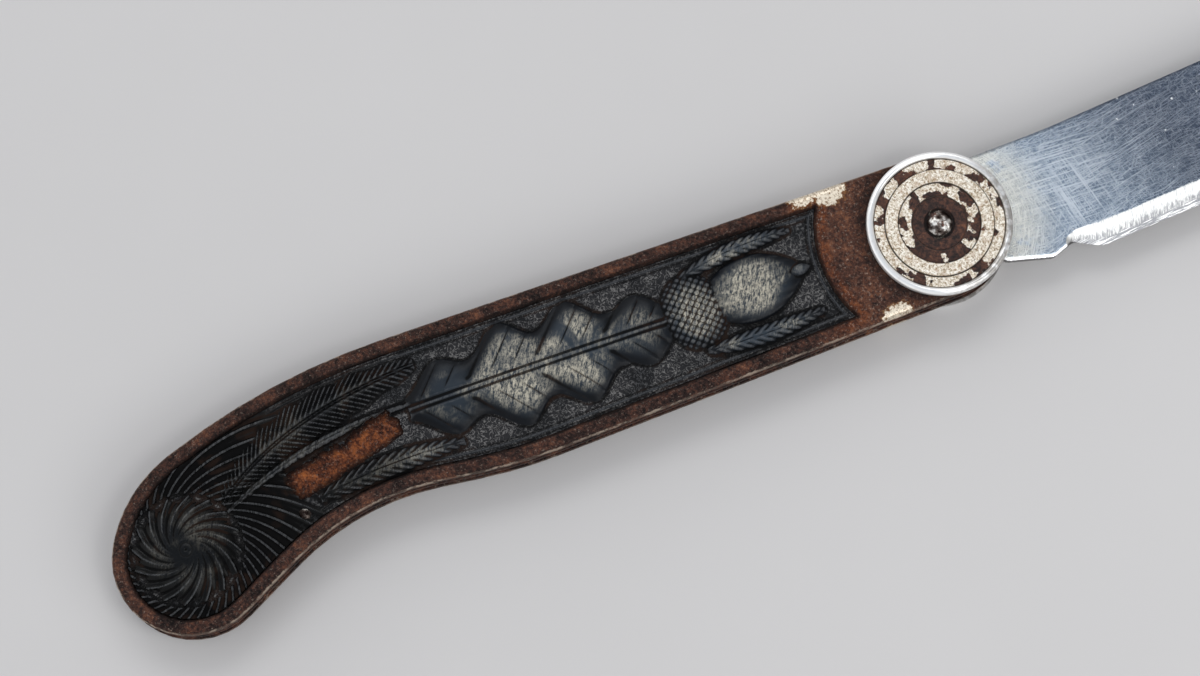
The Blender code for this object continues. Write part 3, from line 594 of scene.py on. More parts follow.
def shell_wear(s, z, wear):
    """Where a shell is plated, where stained, and where bright for any cause."""
    spots = s.most(*(s.times(s.near(x, y, SPOT_REACH), strength)
                     for x, y, strength in PLATING_SPOTS))
    wall = s.rise(s.apart(z, mm(MIDDLE)), mm(RIM_TOP) - 0.4, mm(RIM_TOP) - 1.6)
    left = s.less(s.plus(spots, s.times(wear, 0.9)), s.times(wall, 0.45))
    plated = s.rise(left, 0.98, 1.03)
    stained = s.rise(left, 0.90, 1.02)
    edge = s.attribute("edge_mm")
    broken = s.rise(s.noise(0.5, 5.0, 0.75), 0.46, 0.58)
    bare_wall = s.rise(s.noise(0.8, 6.0, 0.75), 0.53, 0.66)
    bare = s.rise(s.plus(edge, s.times(s.noise(2.2, 4.0), 0.3)), 0.32, 0.22)
    bare = s.times(bare, s.ease(broken, 0.12, 0.75), s.ease(wall, 1.0, bare_wall))
    flecks = s.times(s.rise(s.noise(3.0, 4.0, 0.7), 0.66, 0.70), s.rise(edge, 1.2, 0.3), 0.6)
    return plated, stained, s.most(plated, bare, flecks)


def make_shell_material():
    s = Shader("rusty_shell")
    x, _, z = s.split(s.place)
    tray = s.attribute("tray_mm")
    wear = s.noise(1.3, 5.0, 0.65)
    plated, stained, bright = shell_wear(s, z, wear)
    off_floor = s.rise(tray, 0.1, -0.1)
    bright = s.times(bright, off_floor)
    rust = s.mix(s.times(stained, off_floor, 0.7), shell_rust(s, x, tray), STAIN)
    nickel = s.mix(s.rise(s.noise(3.0, 6.0, 0.85), 0.40, 0.52), WORN_NICKEL, NICKEL)
    colour = s.mix(bright, rust, s.mix(plated, WORN_EDGE, nickel))
    height = s.ease(bright, rust_grain(s), s.plus(0.7, s.times(wear, 0.1)))
    return s.finish(colour, s.ease(bright, 0.85, 0.42), s.ease(plated, 0.0, 0.7), height, 0.12, 0.2)


# Black moulding
BLACK = tone(11, 12, 15)
BLUE_BLACK = tone(22, 26, 32)
DEEP_BLACK = tone(6, 6, 7)
BROWN_DIRT = tone(38, 27, 21)
GROUND_TONES = tone(26, 27, 29), tone(44, 44, 46)
WORM_TONES = tone(66, 67, 69), tone(110, 109, 108)
# the colour of the sheen painted on the high forms
SHEEN_BLUE_GREY = tone(62, 72, 82)
BONE = tone(196, 189, 171)
CREST_WEAR_AND_HIGHLIGHT = tone(118, 120, 123)
ACORN_MIDDLE = [mm(sum(values) / 2) for values in zip(*ACORN["ends"])]


def panel_ground(s):
    """Colour and height of the ground between the forms, covered with winding pale ridges."""
    worms = s.rise(s.apart(s.noise(2.1, 1.5, 0.5, None, 0.8), 0.5), 0.060, 0.015)
    rubbed = s.rise(s.noise(0.3, 4.0, 0.6), 0.30, 0.60)
    return s.mix(worms, s.mix(rubbed, *GROUND_TONES), s.mix(rubbed, *WORM_TONES)), worms


def make_panel_material():
    s = Shader("black_relief")
    x, _, z = s.split(s.place)
    above = s.less(s.apart(z, mm(MIDDLE)), mm(PANEL_TOP))
    level = s.rise(above, 0.05, 0.13)
    rear = s.rise(x, -62.0, -72.0)
    ground, worms = panel_ground(s)
    black = s.mix(rear, s.mix(s.noise(0.6, 3.0), BLACK, BLUE_BLACK), DEEP_BLACK)
    colour = s.mix(level, ground, black)
    broad = s.noise(0.17, 3.0, 0.6, None, 0.8)
    strokes = s.join(s.vector("DOT_PRODUCT", s.place, (0.5, 0.9, 0.0)),
                     s.vector("DOT_PRODUCT", s.place, (3.2, -1.8, 0.0)), 0.7)
    speckle = s.ease(0.4, s.noise(1.0, 5.0, 0.7, strokes, 0.9), s.noise(2.6, 6.0, 0.8, None, 0.6))
    rubbed = s.most(s.rise(broad, 0.40, 0.60), s.rise(s.near(*ACORN_MIDDLE, 5.0), 0.1, 0.5))
    worn = s.times(s.rise(above, 0.45, 1.00), rubbed, s.ease(rear, 1.0, 0.15))
    # painted sheen: a blue grey reflection on the high forms, faint at the rear
    painted_sheen = s.times(s.most(worn, s.rise(above, 0.35, 0.95)), s.ease(rear, 0.55, 0.05))
    worn = s.times(worn, s.rise(speckle, 0.42, 0.60))
    colour = s.mix(painted_sheen, colour, SHEEN_BLUE_GREY)
    colour = s.mix(s.times(worn, 0.9), colour, BONE)
    out = s.attribute("stand_out_um")
    # paler crests on the ridges: partly wear, partly a painted highlight
    crest = s.ease(rear, s.rise(out, 25.0, 70.0), s.rise(out, 50.0, 125.0))
    crest = s.times(crest, s.rise(speckle, 0.34, 0.58), s.ease(rear, 0.28, 0.34))
    colour = s.mix(crest, colour, CREST_WEAR_AND_HIGHLIGHT)
    # painted shade in the hollows: near black, and brown with dirt in places
    hollow = s.rise(out, -4.0, -35.0)
    dirt_and_shade = s.mix(s.rise(broad, 0.50, 0.60), DEEP_BLACK, BROWN_DIRT)
    colour = s.mix(s.times(hollow, 0.85), colour, dirt_and_shade)
    roughness = s.ease(level, 0.70, s.ease(worn, s.ease(rear, 0.34, 0.27), 0.50))
    roughness = s.ease(hollow, roughness, 0.85)
    height = s.ease(level, worms, s.times(s.noise(5.0, 5.0, 0.7), 0.30))
    return s.finish(colour, roughness, 0.0, height, 0.05, 0.16)


# Worn plating
PLATING_TONES = (0.40, tone(112, 88, 64)), (0.47, tone(208, 190, 162)), (0.54, tone(255, 250, 240))
BEAD_WHITE = tone(250, 250, 249)
CAP_STAIN = tone(168, 132, 92)
BEAD_RIGHT_SHADE = tone(120, 110, 98)
GROOVE_BROWN = tone(44, 32, 26)
RIVET_WELL_SHADE = tone(18, 12, 11)
# the rivet's mottle; its palest stop is painted glints
RIVET_TONES = (0.44, tone(36, 28, 26)), (0.54, tone(96, 87, 82)), (0.66, tone(236, 232, 226))
CAP_RUST = ((0.34, 0.36), (0.468, 0.480), (0.665, 0.680), (0.510, 0.522))
RING_BLUR = 0.05


def cap_rust(s, radius):
    """Share of a cap under rust, in patches that differ from ring to ring."""
    patches = s.ease(0.13, s.noise(0.50, 2.0, 0.5), s.noise(4.0, 4.0, 0.6))
    ends = [mm(ring) for ring in CAP_RINGS]
    return s.most(*(s.times(s.band(radius, start, end, RING_BLUR), s.rise(patches, *limits))
                    for start, end, limits in zip([-1.0, *ends], ends, CAP_RUST)))


def make_cap_material():
    s = Shader("plated_cap")
    x, y, _ = s.split(s.place)
    radius = s.distance()
    grain = s.noise(3.4, 7.0, 0.85)
    plating = s.ramp(grain, PLATING_TONES)
    bead = s.rise(radius, mm(CAP_RINGS[-1]) - RING_BLUR, mm(CAP_RINGS[-1]) + 2 * RING_BLUR)
    plating = s.mix(bead, plating, BEAD_WHITE)
    stain = s.rise(s.noise(1.4, 4.0, 0.6), 0.50, 0.66)
    plating = s.mix(s.times(stain, s.ease(bead, 0.45, 0.12)), plating, CAP_STAIN)
    # painted shade on the bead's right and lower side, in patches
    right = s.rise(s.less(x, s.times(y, 0.6)), 1.0, 8.0)
    bead_right_shade = s.times(bead, right, s.rise(s.noise(0.9, 5.0, 0.7), 0.35, 0.58))
    plating = s.mix(s.times(bead_right_shade, 0.7), plating, BEAD_RIGHT_SHADE)
    rusty = cap_rust(s, radius)
    colour = s.mix(rusty, plating, rust_colour(s))
    grooves = s.most(*(s.band(radius, mm(ring) - RING_BLUR, mm(ring) + RING_BLUR, RING_BLUR)
                       for ring in CAP_RINGS))
    colour = s.mix(s.times(grooves, 0.85), colour, GROOVE_BROWN)
    # painted shade in the well round the rivet
    rivet_well_shade = s.rise(radius, mm(WELL_TOP) + 0.05, mm(WELL_FOOT) - 0.02)
    colour = s.mix(s.times(rivet_well_shade, 0.85), colour, RIVET_WELL_SHADE)
    roughness = s.ease(rusty, s.ease(bead, 0.34, 0.14), 0.85)
    metallic = s.ease(rusty, s.ease(bead, 0.65, 0.55), 0.0)
    plating_height = s.ease(bead, s.plus(0.45, s.times(grain, 0.45)), 0.7)
    return s.finish(colour, roughness, metallic, s.ease(rusty, plating_height, rust_grain(s)), 0.13)


def make_rivet_material():
    s = Shader("worn_rivet")
    # mottled metal, its palest patches painted glints
    metal_and_glints = s.ramp(s.noise(0.9, 5.0, 0.55), RIVET_TONES)
    moved = s.vector("ADD", s.place, (4.0, 2.0, 0.0))
    rusty = s.rise(s.noise(1.1, 5.0, 0.7, moved), 0.54, 0.60)
    colour = s.mix(rusty, metal_and_glints, rust_colour(s))
    height = s.noise(1.6, 3.0, 0.5)
    return s.finish(colour, s.ease(rusty, 0.28, 0.8), s.ease(rusty, 0.95, 0.0), height, 0.25)


# Scratched steel. A set has its angle, length, width and share of the surface.
NEAR_TONES = tone(124, 141, 160), tone(162, 177, 193)
FAR_TONES = tone(66, 76, 92), tone(96, 106, 122)
SCRATCH = tone(238, 242, 246)
PALE_HAZE = tone(226, 224, 214)
BRIGHT_NICK = tone(250, 250, 250)
RUBBED_STEEL_AND_HIGHLIGHT = tone(252, 252, 252)
DARK_SPINE = tone(60, 64, 72)
SHADE = tone(46, 40, 38)
FINE_SCRATCHES = ((2.0, 3.0, 0.07, 0.14), (-12.0, 2.2, 0.07, 0.14), (19.0, 2.4, 0.07, 0.13),
                  (-68.0, 1.6, 0.07, 0.12), (57.0, 1.6, 0.07, 0.11), (-84.0, 1.4, 0.07, 0.11))
BROAD_SCRATCHES = (  # the set, its place and reach, its strength
    ((-78.0, 6.0, 0.13, 0.19), (17.0, -1.5, 7.0), 1.3),
    ((-3.0, 9.0, 0.16, 0.16), (17.0, 1.5, 9.0), 1.0),
    ((12.0, 12.0, 0.12, 0.12), (24.0, 2.0, 14.0), 1.0),
)
BEVEL_PASSES = (  # the set, the tone between its lines and the lines' own
    ((80.0, 1.6, 0.10, 0.16), tone(230, 230, 228), tone(180, 182, 184)),
    ((68.0, 0.9, 0.09, 0.22), tone(150, 151, 153), tone(226, 226, 224)),
    ((5.0, 2.0, 0.10, 0.20), tone(146, 147, 150), tone(246, 246, 245)),
)
# place and reach of the shade painted in the notch
NOTCH_SHADE_SPOT = (14.3, -7.9, 1.2)


def blade_lines(s, x, y, radius):
    """Share of the flats under scratches, with arcs that the handle rubbed in round the pivot."""
    lines = s.times(s.plus(*(s.scratches(*strokes) for strokes in FINE_SCRATCHES)), 0.55)
    for strokes, spot, strength in BROAD_SCRATCHES:
        lines = s.plus(lines, s.times(s.scratches(*strokes), s.near(*spot), strength))
    round_pivot = s.join(s.times(radius, 6.0), s.times(s.math("ARCTAN2", y, x), 3.0), 0.0)
    arcs = s.rise(s.noise(1.0, 3.0, 0.7, round_pivot, 0.2), 0.52, 0.60)
    arcs = s.times(arcs, s.rise(radius, 14.5, 10.5))
    return s.math("MINIMUM", s.plus(lines, arcs), 1.0)


def blade_flats(s, x, y, radius, edge, lines):
    """Colour of the flats: blue grey, darker towards the tip and hazy beside the cap."""
    shade = s.noise(0.25, 4.0, 0.6)
    away = s.rise(s.plus(x, s.times(y, 0.6)), 12.0, 33.0)
    colour = s.mix(away, s.mix(shade, *NEAR_TONES), s.mix(shade, *FAR_TONES))
    colour = s.mix(s.times(lines, s.ease(away, 0.56, 0.28)), colour, SCRATCH)
    haze = s.times(s.rise(radius, 15.5, 9.5), s.rise(s.noise(0.7, 4.0, 0.7), 0.25, 0.5))
    colour = s.mix(s.times(haze, 0.8), colour, PALE_HAZE)
    colour = s.mix(s.rise(s.noise(1.1, 2.0, 0.5), 0.735, 0.75), colour, BRIGHT_NICK)
    spine = s.times(s.rise(edge, 0.45, 0.05), s.rise(y, 0.0, 2.0))
    colour = s.mix(s.times(spine, 0.6), colour, DARK_SPINE)
    # near white along the rubbed lower edge: rubbed steel with a painted highlight
    return s.mix(s.rise(s.attribute("rubbed_share"), 0.1, 0.5), colour, RUBBED_STEEL_AND_HIGHLIGHT)


def blade_bevel(s, share, uneven):
    """Colour of the bevel, ground in three passes, the last one along the edge."""
    upper, lower, last = (s.mix(s.scratches(*strokes), *tones) for strokes, *tones in BEVEL_PASSES)
    lower_share = s.rise(s.plus(share, s.times(uneven, 5.0)), 0.62, 0.40)
    last_share = s.rise(s.plus(share, s.times(uneven, 2.5)), 0.34, 0.22)
    return s.mix(last_share, s.mix(lower_share, upper, lower), last)


def blade_shade(s, x, z, edge, share):
    """Where shade is painted on the blade: on the tang's walls, in the nail nick and in the notch.
    """
    depth = s.apart(z, mm(MIDDLE))
    half = mm(BLADE_HALF)
    wall = s.times(s.rise(depth, half - 0.15, half - 0.25), s.rise(edge, 0.05, 0.0),
                   s.rise(x, 15.5, 14.5))
    nick = s.times(s.rise(depth, half - 0.04, half - 0.25), s.rise(share, 1.1, 1.3),
                   s.rise(edge, 0.5, 1.0))
    return s.most(wall, nick, s.rise(s.near(*NOTCH_SHADE_SPOT), 0.15, 0.5))


def make_blade_material():
    s = Shader("scratched_steel")
    x, y, z = s.split(s.place)
    radius = s.distance()
    edge = s.attribute("edge_mm")
    share = s.attribute("ground_share")
    teeth = s.noise(1.0, 4.0, 0.7, s.join(s.times(x, 3.0), s.times(y, 0.5), 0.3))
    uneven = s.times(s.less(teeth, 0.5), 0.16)
    ground = s.rise(s.plus(share, uneven), 1.02, 0.98)
    lines = blade_lines(s, x, y, radius)
    flats = blade_flats(s, x, y, radius, edge, lines)
    colour = s.mix(ground, flats, blade_bevel(s, share, uneven))
    colour = s.mix(s.times(blade_shade(s, x, z, edge, share), 0.8), colour, SHADE)
    roughness = s.ease(ground, s.ease(lines, 0.26, 0.42), 0.40)
    return s.finish(colour, roughness, 1.0, s.less(0.5, s.times(lines, 0.5)), 0.008)


def make_inner_material(name, share):
    """Bare steel with rust over part of it."""
    s = Shader(name)
    rusty = s.rise(s.noise(1.5, 7.0, 0.8), 0.58 - share / 2, 0.74 - share / 2)
    steel = s.mix(s.noise(2.6, 6.0, 0.75), DARK_STEEL, STEEL)
    colour = s.mix(rusty, steel, rust_colour(s))
    return s.finish(colour, s.ease(rusty, 0.38, 0.85), s.ease(rusty, 1.0, 0.0), rust_grain(s), 0.04)


def make_floor_material():
    s = Shader("pale_floor")
    colour = s.mix(s.noise(0.02, 3.0), tone(203, 201, 200), tone(209, 207, 206))
    return s.finish(colour, 0.8, 0.0)


# Pieces

def round_off(gap, radius):
    """How far a rounding of that radius lies below the flat, at gap from its edge."""
    left = np.clip(radius - gap, 0, radius)
    return radius - np.sqrt(radius ** 2 - left ** 2)


def make_shell(side, material):
    """Stamped sheet with its rounded rim, front plate and tray, slightly dented."""
    name = side_name(side, "shell")
    wall = section(name, side * (TRAY_FLOOR + RIM_TOP - SHOULDER) / 2)
    large = [loop for loop in wall if area(loop) > LARGE_LOOP]
    outline, tray = large[0], large[-1]
    holes = [loop for loop in section(name, side * (SHELL_LOW + SLICE)) if area(loop) < SMALL_LOOP]
    opening = panel_loops(side)[1]

    def top(points, gap):
        inside = edge_distance(points, [tray])[0]
        height = RIM_TOP - round_off(gap, SHOULDER) - round_off(np.maximum(0, -inside), LIP)
        height += sum(depth * (rough(points, span, side) - 1) * (gap > 0) for span, depth in DENTS)
        crumbs = 1 + 0.6 * sum(rough(points, span, side) for span in CRUMB_SPANS)
        crust = CRUST * crumbs * np.clip(edge_distance(points, [opening])[0] / CRUST_FADE, 0, 1)
        return np.where(inside > HAIR, TRAY_FLOOR + crust, height)

    mesh, facts = pressed(name, side, [outline, *holes], SHELL_CELL, top, SHELL_LOW, [tray])
    mark(mesh, "edge_mm", mm(facts["gap"]), facts)
    for key, loop in (("tray_mm", tray), ("hole_mm", opening)):
        mark(mesh, key, mm(edge_distance(facts["points"], [loop])[0]), facts)
    finish_piece(name + "_sheet", mesh, "handle", material, name)


def bent_line(points, places):
    """For each point the nearest place on a bent line, as a share, and the offset to its left.

    places are the line's start, the point that it bends towards, and its end. The last result
    says which points lie beyond the line's ends.
    """
    shares = np.linspace(0, 1, LINE_STEPS + 1)[:, None]
    start, bend, end = np.array(places)
    line = (1 - shares) ** 2 * start + 2 * shares * (1 - shares) * bend + shares ** 2 * end
    run = unit((1 - shares) * (bend - start) + shares * (end - bend))
    far = ((points[:, None, :] - line[None]) ** 2).sum(axis=2)
    index = far.argmin(axis=1)
    offset = points - line[index]
    step = np.linalg.norm(np.diff(line, axis=0), axis=1).mean()
    along = (offset * run[index]).sum(axis=1)
    share = shares[index, 0] + np.clip(along, -step, step) / step / LINE_STEPS
    across = run[index, 0] * offset[:, 1] - run[index, 1] * offset[:, 0]
    beyond = (share < 0) | (share > 1) | (np.abs(along) > 1.5 * step)
    return share, across, beyond


def groove(phase, width):
    """Depth from 0 to 1 of a groove at each whole number of phase, as wide as width."""
    apart = np.abs(phase - np.round(phase))
    return np.exp(-(apart / width) ** 2)


def strands(phase, power):
    """Height from 0 to 1 of a sharp crest at each whole number of phase."""
    return (1 - 2 * np.abs(phase - np.round(phase))) ** power


def swelling(share, foot, tip):
    """Width from 0 to 1 along a form that starts at foot and stops tip before it would close."""
    return np.sin(math.pi * np.clip(foot + (1 - foot - tip) * share, 0.001, 0.999))


def leaf(points, line, half_width, ribs, rib_depth, lean, lobes=0, notch=0, sharp=True):
    """Height of a leaf: a dome with lobes along its sides, a midrib and slanting ribs.

    line is as bent_line takes it, and lean is how many ribs a rib passes on its way from the
    midrib to the side. Sharp ribs have narrow crests and broad valleys.
    """
    share, across, beyond = bent_line(points, line)
    swell = swelling(share, LEAF_FOOT, LEAF_TIP)
    dip = notch * (1 + np.cos(2 * math.pi * lobes * share)) / 2
    width = half_width * swell ** 0.6 * (1 - dip)
    reach = np.abs(across) / width
    dome = np.sqrt(np.clip(1 - reach ** 2, 0, 1))
    height = RISE * (0.35 + 0.65 * swell) * dome
    phase = share * ribs - lean * np.abs(across) / half_width - 0.5 + lean
    fade = np.clip(reach * 3 - 0.15, 0, 1) * dome ** 0.3
    if sharp:
        valleys = 1 - strands(phase, 1.3)
    else:
        valleys = 0.6 * groove(phase, 0.22) + 0.4 * groove(phase, 0.06)
    height -= rib_depth * valleys * fade
    line_width = max(0.035 * half_width, FINEST_LINE)
    beside = (np.abs(across) - 0.05 * half_width * (half_width > WIDE_LEAF)) / line_width
    height -= 0.8 * rib_depth * np.exp(-beside ** 2) * dome
    return np.where(beyond | (reach >= 1), 0, np.maximum(height, 0))


def rounded_form(points, ends, half_width, fullness):
    """Height of a rounded form from end to end, and its shares along and across."""
    middle = tuple((a + b) / 2 for a, b in zip(*ends))
    share, across, beyond = bent_line(points, (ends[0], middle, ends[1]))
    swell = swelling(share, ACORN_FOOT, ACORN_FOOT) ** fullness
    reach = np.abs(across) / (half_width * swell)
    dome = np.sqrt(np.clip(1 - reach ** 2, 0, 1))
    height = np.where(beyond | (reach >= 1), 0, RISE * swell * dome)
    return height, share, across / half_width


def rosette(points):
    """Height of the rosette near the butt, with its boss and the rays that run out from it."""
    offset = points - ROSETTE_CENTRE
    radius = np.hypot(*offset.T)
    angle = np.arctan2(offset[:, 1], offset[:, 0])
    turns = (angle + TWIST * np.log(np.maximum(radius, 0.0005) / ROSETTE_RADIUS)) / (2 * math.pi)
    ripple = 1 + 0.10 * (np.cos(FLUTES * angle) - 1) / 2
    bowl = np.sqrt(np.clip(1 - (radius / (ROSETTE_RADIUS * ripple)) ** 4, 0, 1))
    strokes = FLUTE_DEPTH * (1 - strands(FLUTES * turns, 1.1))
    strokes += THREAD_DEPTH * (1 - strands(3 * FLUTES * turns, 1.1))
    strokes *= np.clip(radius / ROSETTE_RADIUS * 1.6 - 0.3, 0, 1) * (bowl > 0)
    boss = RISE * np.sqrt(np.clip(1 - (radius / BOSS_RADIUS) ** 4, 0, 1))
    boss *= 1 - 0.12 * groove(radius / BOSS_RING, 0.2)
    rays = RAY_HEIGHT * strands(RAYS * turns, 1.2) + FINE_RAY_HEIGHT * strands(2 * RAYS * turns, 1.2)
    rays *= np.clip((RAYS_END - points[:, 0]) / RAYS_FADE, 0, 1) * (radius > ROSETTE_RADIUS * 1.02)
    return np.maximum.reduce([0.92 * RISE * bowl - strokes, boss, rays])


def acorn_in_cup(points):
    """Height of the acorn with its fine grooves and its nib, and of its scaly cup."""
    acorn, _, across = rounded_form(points, **ACORN)
    acorn -= ACORN_GROOVE * groove(across * 4, 0.25) * (acorn > 0)
    nib = 0.7 * rounded_form(points, **NIB)[0]
    cup, share, across = rounded_form(points, **CUP)
    scales = groove(share * 7 + across * 5, 0.2) + groove(share * 7 - across * 5, 0.2)
    cup -= CUP_GROOVE * np.clip(scales, 0, 1) * (cup > 0)
    return np.maximum.reduce([acorn, nib, cup])


def relief(points):
    """Height of the whole carving over the panel's ground."""
    leaves = [leaf(points, **form) for form in (PLUME, STEM, LOW_LEAF, UPPER_LEAF, LOWER_LEAF)]
    big_leaf = np.minimum(*(leaf(points, **BIG_LEAF, **ribs) for ribs in BIG_LEAF_RIBS))
    return np.maximum.reduce([rosette(points), *leaves, big_leaf, acorn_in_cup(points)])


def ragged(loop, depth, span):
    """A loop in short steps, moved in and out like a broken edge."""
    points = []
    for start, end in zip(loop, np.roll(loop, -1, axis=0)):
        count = max(1, math.ceil(np.linalg.norm(end - start) / PANEL_CELL))
        points += [start + (end - start) * k / count for k in range(count)]
    points = np.array(points)
    middle = points.mean(axis=0)
    shift = depth * (rough(points, span) + 0.6 * rough(points, span / 3, 5.0))
    share = np.where(points[:, 1] > middle[1], 1.0, 0.35)
    return points + unit(points - middle) * share[:, None] * shift[:, None]


def panel_loops(side):
    """Outlines of a panel: its border, its broken-out opening and its small hole."""
    loops = section(side_name(side, "inlay"), side * (PANEL_LOW + GROUND / 2))
    loops[1] = ragged(loops[1], *RAGGED)
    return loops


def make_panel(side, material):
    """Moulded panel with a carving, a thin bead round it and a broken-out opening."""
    name = side_name(side, "inlay")
    loops = panel_loops(side)

    def top(points, gap):
        border_gap = np.abs(edge_distance(points, loops[:1])[0])
        bead = BEAD_HEIGHT * np.exp(-((border_gap - BEAD_PLACE) / BEAD_WIDTH) ** 2)
        carving = np.maximum(relief(points), bead * (points[:, 0] > BEAD_END))
        carving += SKIN * rough(points, SKIN_SPAN, side)
        return PANEL_TOP + np.clip(carving, 0, np.where(gap > 0, RISE, OPENING_RISE))

    mesh, facts = pressed(name, side, loops, PANEL_CELL, top, PANEL_LOW)
    mark(mesh, "stand_out_um", 1e6 * stand_out(facts, 5), facts)
    finish_piece(name + "_carving", mesh, "handle", material, name, 60.0)


def turned(name, profile, side):
    """A turned solid from a profile of radius and height; closed on itself, or to its axis."""
    angles = 2 * math.pi * np.arange(TURN_STEPS) / TURN_STEPS
    bm = bmesh.new()
    rings = []
    for radius, height in profile:
        around = angles if radius > 0 else angles[:1]
        rings.append([bm.verts.new((radius * math.cos(a), radius * math.sin(a),
                                    MIDDLE + side * height)) for a in around])
    pairs = list(zip(rings, rings[1:]))
    if len(rings[0]) > 1:
        pairs.append((rings[-1], rings[0]))
    for low, high in pairs:
        for i in range(TURN_STEPS):
            j = (i + 1) % TURN_STEPS
            corners = [ring[k % len(ring)] for ring, k in ((low, i), (low, j), (high, j), (high, i))]
            bm.faces.new(list(dict.fromkeys(corners)))
    bmesh.ops.recalc_face_normals(bm, faces=bm.faces)
    return to_mesh(bm, name)


def dimple(mesh, touched, side, half_depth, rate):
    """Sinks the points that touched picks by up to twice half_depth, in smooth dimples."""
    for vertex in mesh.vertices:
        if touched(vertex.co):
            vertex.co.z += side * half_depth * (noise.noise(vertex.co * rate) - 1)


def make_cap(side, material):
    """Turned cap: beaded rim, two sunk bands, a raised ring and a dish, parted by grooves."""
    name = side_name(side, "pivot_cap")
    rise = CAP_TOP - CAP_LOW
    dish, inner, outer, edge = CAP_RINGS
    sunk = SUNK_BAND * rise
    fine = CAP_FINE
    profile = [(BORE, 0), (BORE, WELL_FLOOR * rise), (WELL_FOOT, WELL_FLOOR * rise),
               (WELL_TOP, WELL_LIP * rise), (dish - fine * 2, DISH_RIM * rise),
               (dish - fine, DISH_GROOVE * rise), (dish, DISH_GROOVE * rise),
               (dish + fine, sunk), (inner - fine, sunk), (inner, sunk - fine),
               (inner + fine * 0.6, rise - fine), (inner + fine * 1.6, rise),
               (outer - fine * 1.6, rise), (outer - fine * 0.6, rise - fine),
               (outer, sunk - fine), (outer + fine, sunk), (edge - fine, sunk),
               (edge, sunk - fine)]
    bead = (CAP_RADIUS - edge) / 2
    for i in range(11):
        angle = math.pi * (1 - i / 10)
        profile.append((edge + bead + bead * math.cos(angle),
                        rise - bead + bead * math.sin(angle)))
    profile.append((CAP_RADIUS, 0))

    def worn(place):
        return place.xy.length < CAP_RADIUS - fine and abs(place.z - MIDDLE) > CAP_LOW + fine

    mesh = turned(name, [(radius, CAP_LOW + height) for radius, height in profile], side)
    dimple(mesh, worn, side, *CAP_DIMPLES)
    finish_piece(name + "_turned", mesh, "handle", material, name, 22.0)


def make_rivet(material):
    """Rivet with its front head hammered to a low dome and its rear end flat."""
    seat = (CAP_LOW + CAP_TOP) / 2
    profile = [(0, RIVET_TOP - RIVET_CROWN)]
    for i in range(1, 10):
        angle = math.pi / 2 * i / 9
        profile.append((RIVET_HEAD * math.sin(angle),
                        seat + (RIVET_TOP - seat) * math.cos(angle) ** 0.8))
    profile += [(RIVET_SHANK, seat), (RIVET_SHANK, -seat), (RIVET_HEAD, -seat),
                (RIVET_HEAD, -CAP_TOP + RIVET_CHAMFER), (RIVET_HEAD - RIVET_CHAMFER, -CAP_TOP),
                (0, -CAP_TOP)]

    def hammered(place):
        return place.z > MIDDLE + seat + RIVET_CHAMFER

    mesh = turned("pivot_rivet", profile, 1)
    dimple(mesh, hammered, 1, *RIVET_DIMPLES)
    finish_piece("pivot_rivet_peened", mesh, "handle", material,
                 "pivot_rivet", 60.0)


def drawn_in(loop, inset):
    """A loop moved inwards all round."""
    before = unit(loop - np.roll(loop, 1, axis=0))
    after = unit(np.roll(loop, -1, axis=0) - loop)
    run = unit(before + after)
    turned_left = np.column_stack([-run[:, 1], run[:, 0]])
    moved = loop + inset * turned_left
    return moved if area(moved) < area(loop) else loop - inset * turned_left


def make_blade(material):
    """Blade with a hand-ground bevel, a rubbed lower edge ahead of the cap and a nail nick."""
    loops = section("blade", HAIR)
    outline = loops[0]
    edge = outline[(outline[:, 0] > EDGE_START) & (outline[:, 1] < EDGE_TOP)]
    edge = edge[np.argsort(edge[:, 0])]
    edge = np.concatenate([edge, edge[::-1]])

    def ground_share(points):
        """0 at the cutting edge, 1 where the bevel meets the flat."""
        apart = np.abs(edge_distance(points, [edge])[0])
        opening = np.clip((points[:, 0] - GRIND_START) / GRIND_RUN, 0.15, 1) ** 0.5
        wobble = rough(points * (1, 0), WOBBLE_SPAN)
        return apart / (GRIND_WIDTH * opening * (1 + GRIND_WOBBLE * wobble))

    def rubbed_share(points, gap):
        """1 at the lower edge behind the notch, falling to 0 at RUBBED_EDGE from it."""
        x, y = points.T
        lower = (x < RUBBED_END) & (x > RUBBED_START) & (y < RUBBED_TOP)
        return np.where(lower, np.clip(1 - gap / RUBBED_EDGE, 0, 1), 0)

    def thickness(points, gap):
        bevel = EDGE_THICKNESS / 2
        bevel += (BLADE_HALF - EDGE_THICKNESS / 2) * np.clip(ground_share(points), 0, 1)
        return np.minimum(bevel, BLADE_HALF - RUBBED_DEPTH * rubbed_share(points, gap))

    def front(points, gap):
        reach = 2 * (points - NICK_PLACE) / NICK_SIZE
        scoop = np.clip(1 - reach[:, 0] ** 2, 0, 1) * (np.abs(reach[:, 1]) < 1)
        return thickness(points, gap) - NICK_DEPTH * scoop * (0.75 + 0.25 * reach[:, 1])

    def rear(points, gap):
        return -thickness(points, gap)

    mesh, facts = pressed("blade", 1, loops, BLADE_CELL, front, rear,
                          [drawn_in(outline, RUBBED_EDGE)])
    points, gap = facts["points"], facts["gap"]
    mark(mesh, "ground_share", np.minimum(ground_share(points), 2), facts)
    mark(mesh, "rubbed_share", rubbed_share(points, gap), facts)
    mark(mesh, "edge_mm", mm(gap), facts)
    finish_piece("blade_ground", mesh, "blade", material, "blade", 12.0)


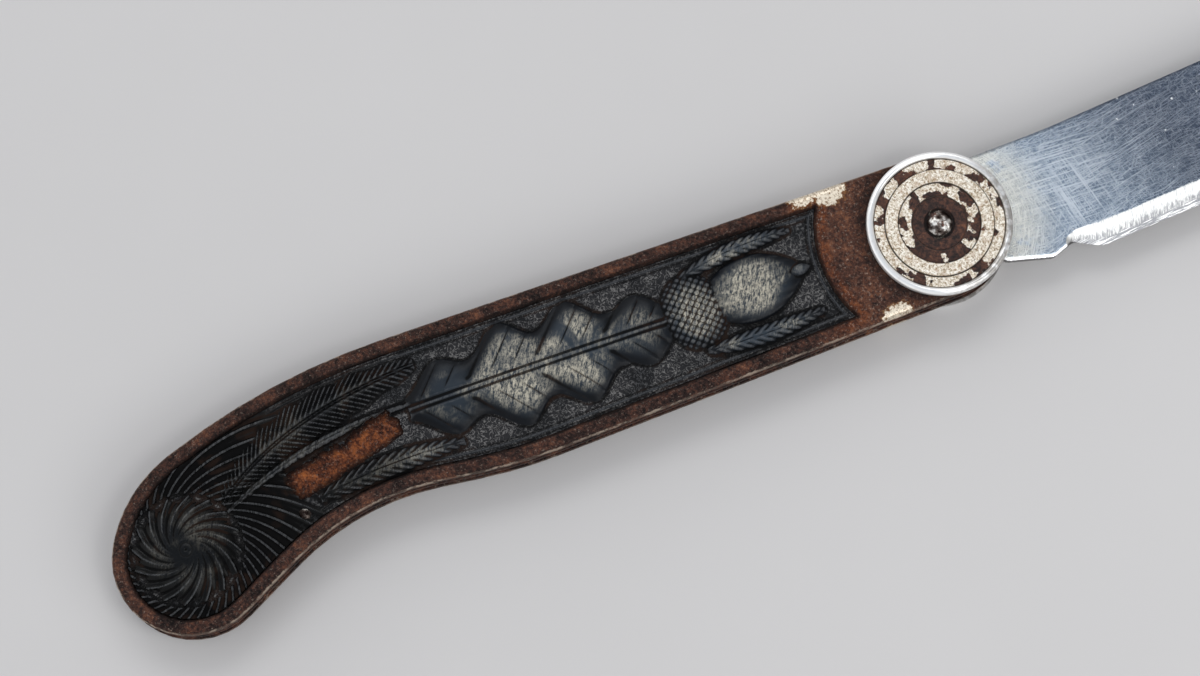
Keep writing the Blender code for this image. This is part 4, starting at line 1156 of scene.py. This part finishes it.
def dress_nodes(rivet_material):
    """Materials for the CAD nodes that show as they are."""
    spring_steel = make_inner_material("spring_steel", 0.34)
    rusty_steel = make_inner_material("rusty_liner", 0.55)
    inside = ("back_spring", "middle_pin", "butt_pin", "front_pivot_spacer", "rear_pivot_spacer")
    for material, nodes in ((spring_steel, inside), (rusty_steel, ("front_liner", "rear_liner")),
                            (rivet_material, ("front_inlay_stud", "rear_inlay_stud"))):
        for node in nodes:
            frame["nodes"][node].material_slots[0].material = material


# Room

def make_floor():
    bm = bmesh.new()
    bmesh.ops.create_grid(bm, x_segments=8, y_segments=8, size=FLOOR_HALF)
    floor = add_object("floor", to_mesh(bm, "floor"))
    floor.data.materials.append(make_floor_material())
    floor.location = (0, 0, -FLOOR_DROP)


def aim(thing, place):
    """Puts a lamp or the camera in its place, turned to the handle."""
    thing.location = place
    thing.rotation_euler = (LOOK_POINT - Vector(place)).to_track_quat("-Z", "Y").to_euler()


def make_lamp(name, place, size, power):
    data = bpy.data.lights.new(name, "AREA")
    data.shape = "RECTANGLE"
    data.size, data.size_y = size
    data.energy = power
    aim(add_object(name, data), place)


def make_world():
    """Soft light from all round: a grey-blue ceiling and paler walls, palest at the left."""
    world = bpy.data.worlds.new("room")
    bpy.context.scene.world = world
    world.use_nodes = True
    s = Nodes(world.node_tree)
    direction = s.add("ShaderNodeTexCoord", {})["Generated"]
    colour = s.ramp(s.split(direction)[2], ROOM_TONES)
    strength = s.plus(s.vector("DOT_PRODUCT", direction, PALE_WALL), 1.0)
    s.fill(world.node_tree.nodes["Background"], {"Color": colour, "Strength": strength})


def make_camera():
    data = bpy.data.cameras.new("camera")
    data.lens = LENS
    data.sensor_width = SENSOR
    data.clip_start = 0.01
    data.clip_end = 10.0
    camera = add_object("camera", data)
    aim(camera, CAMERA_PLACE)
    bpy.context.scene.camera = camera


make_camera()
make_floor()
make_world()
for lamp in LAMPS:
    make_lamp(*lamp)
bpy.context.scene.view_settings.view_transform = "Standard"

shell_material = make_shell_material()
panel_material = make_panel_material()
cap_material = make_cap_material()
rivet_material = make_rivet_material()
for side in (1, -1):
    make_shell(side, shell_material)
    make_panel(side, panel_material)
    make_cap(side, cap_material)
make_rivet(rivet_material)
make_blade(make_blade_material())
dress_nodes(rivet_material)
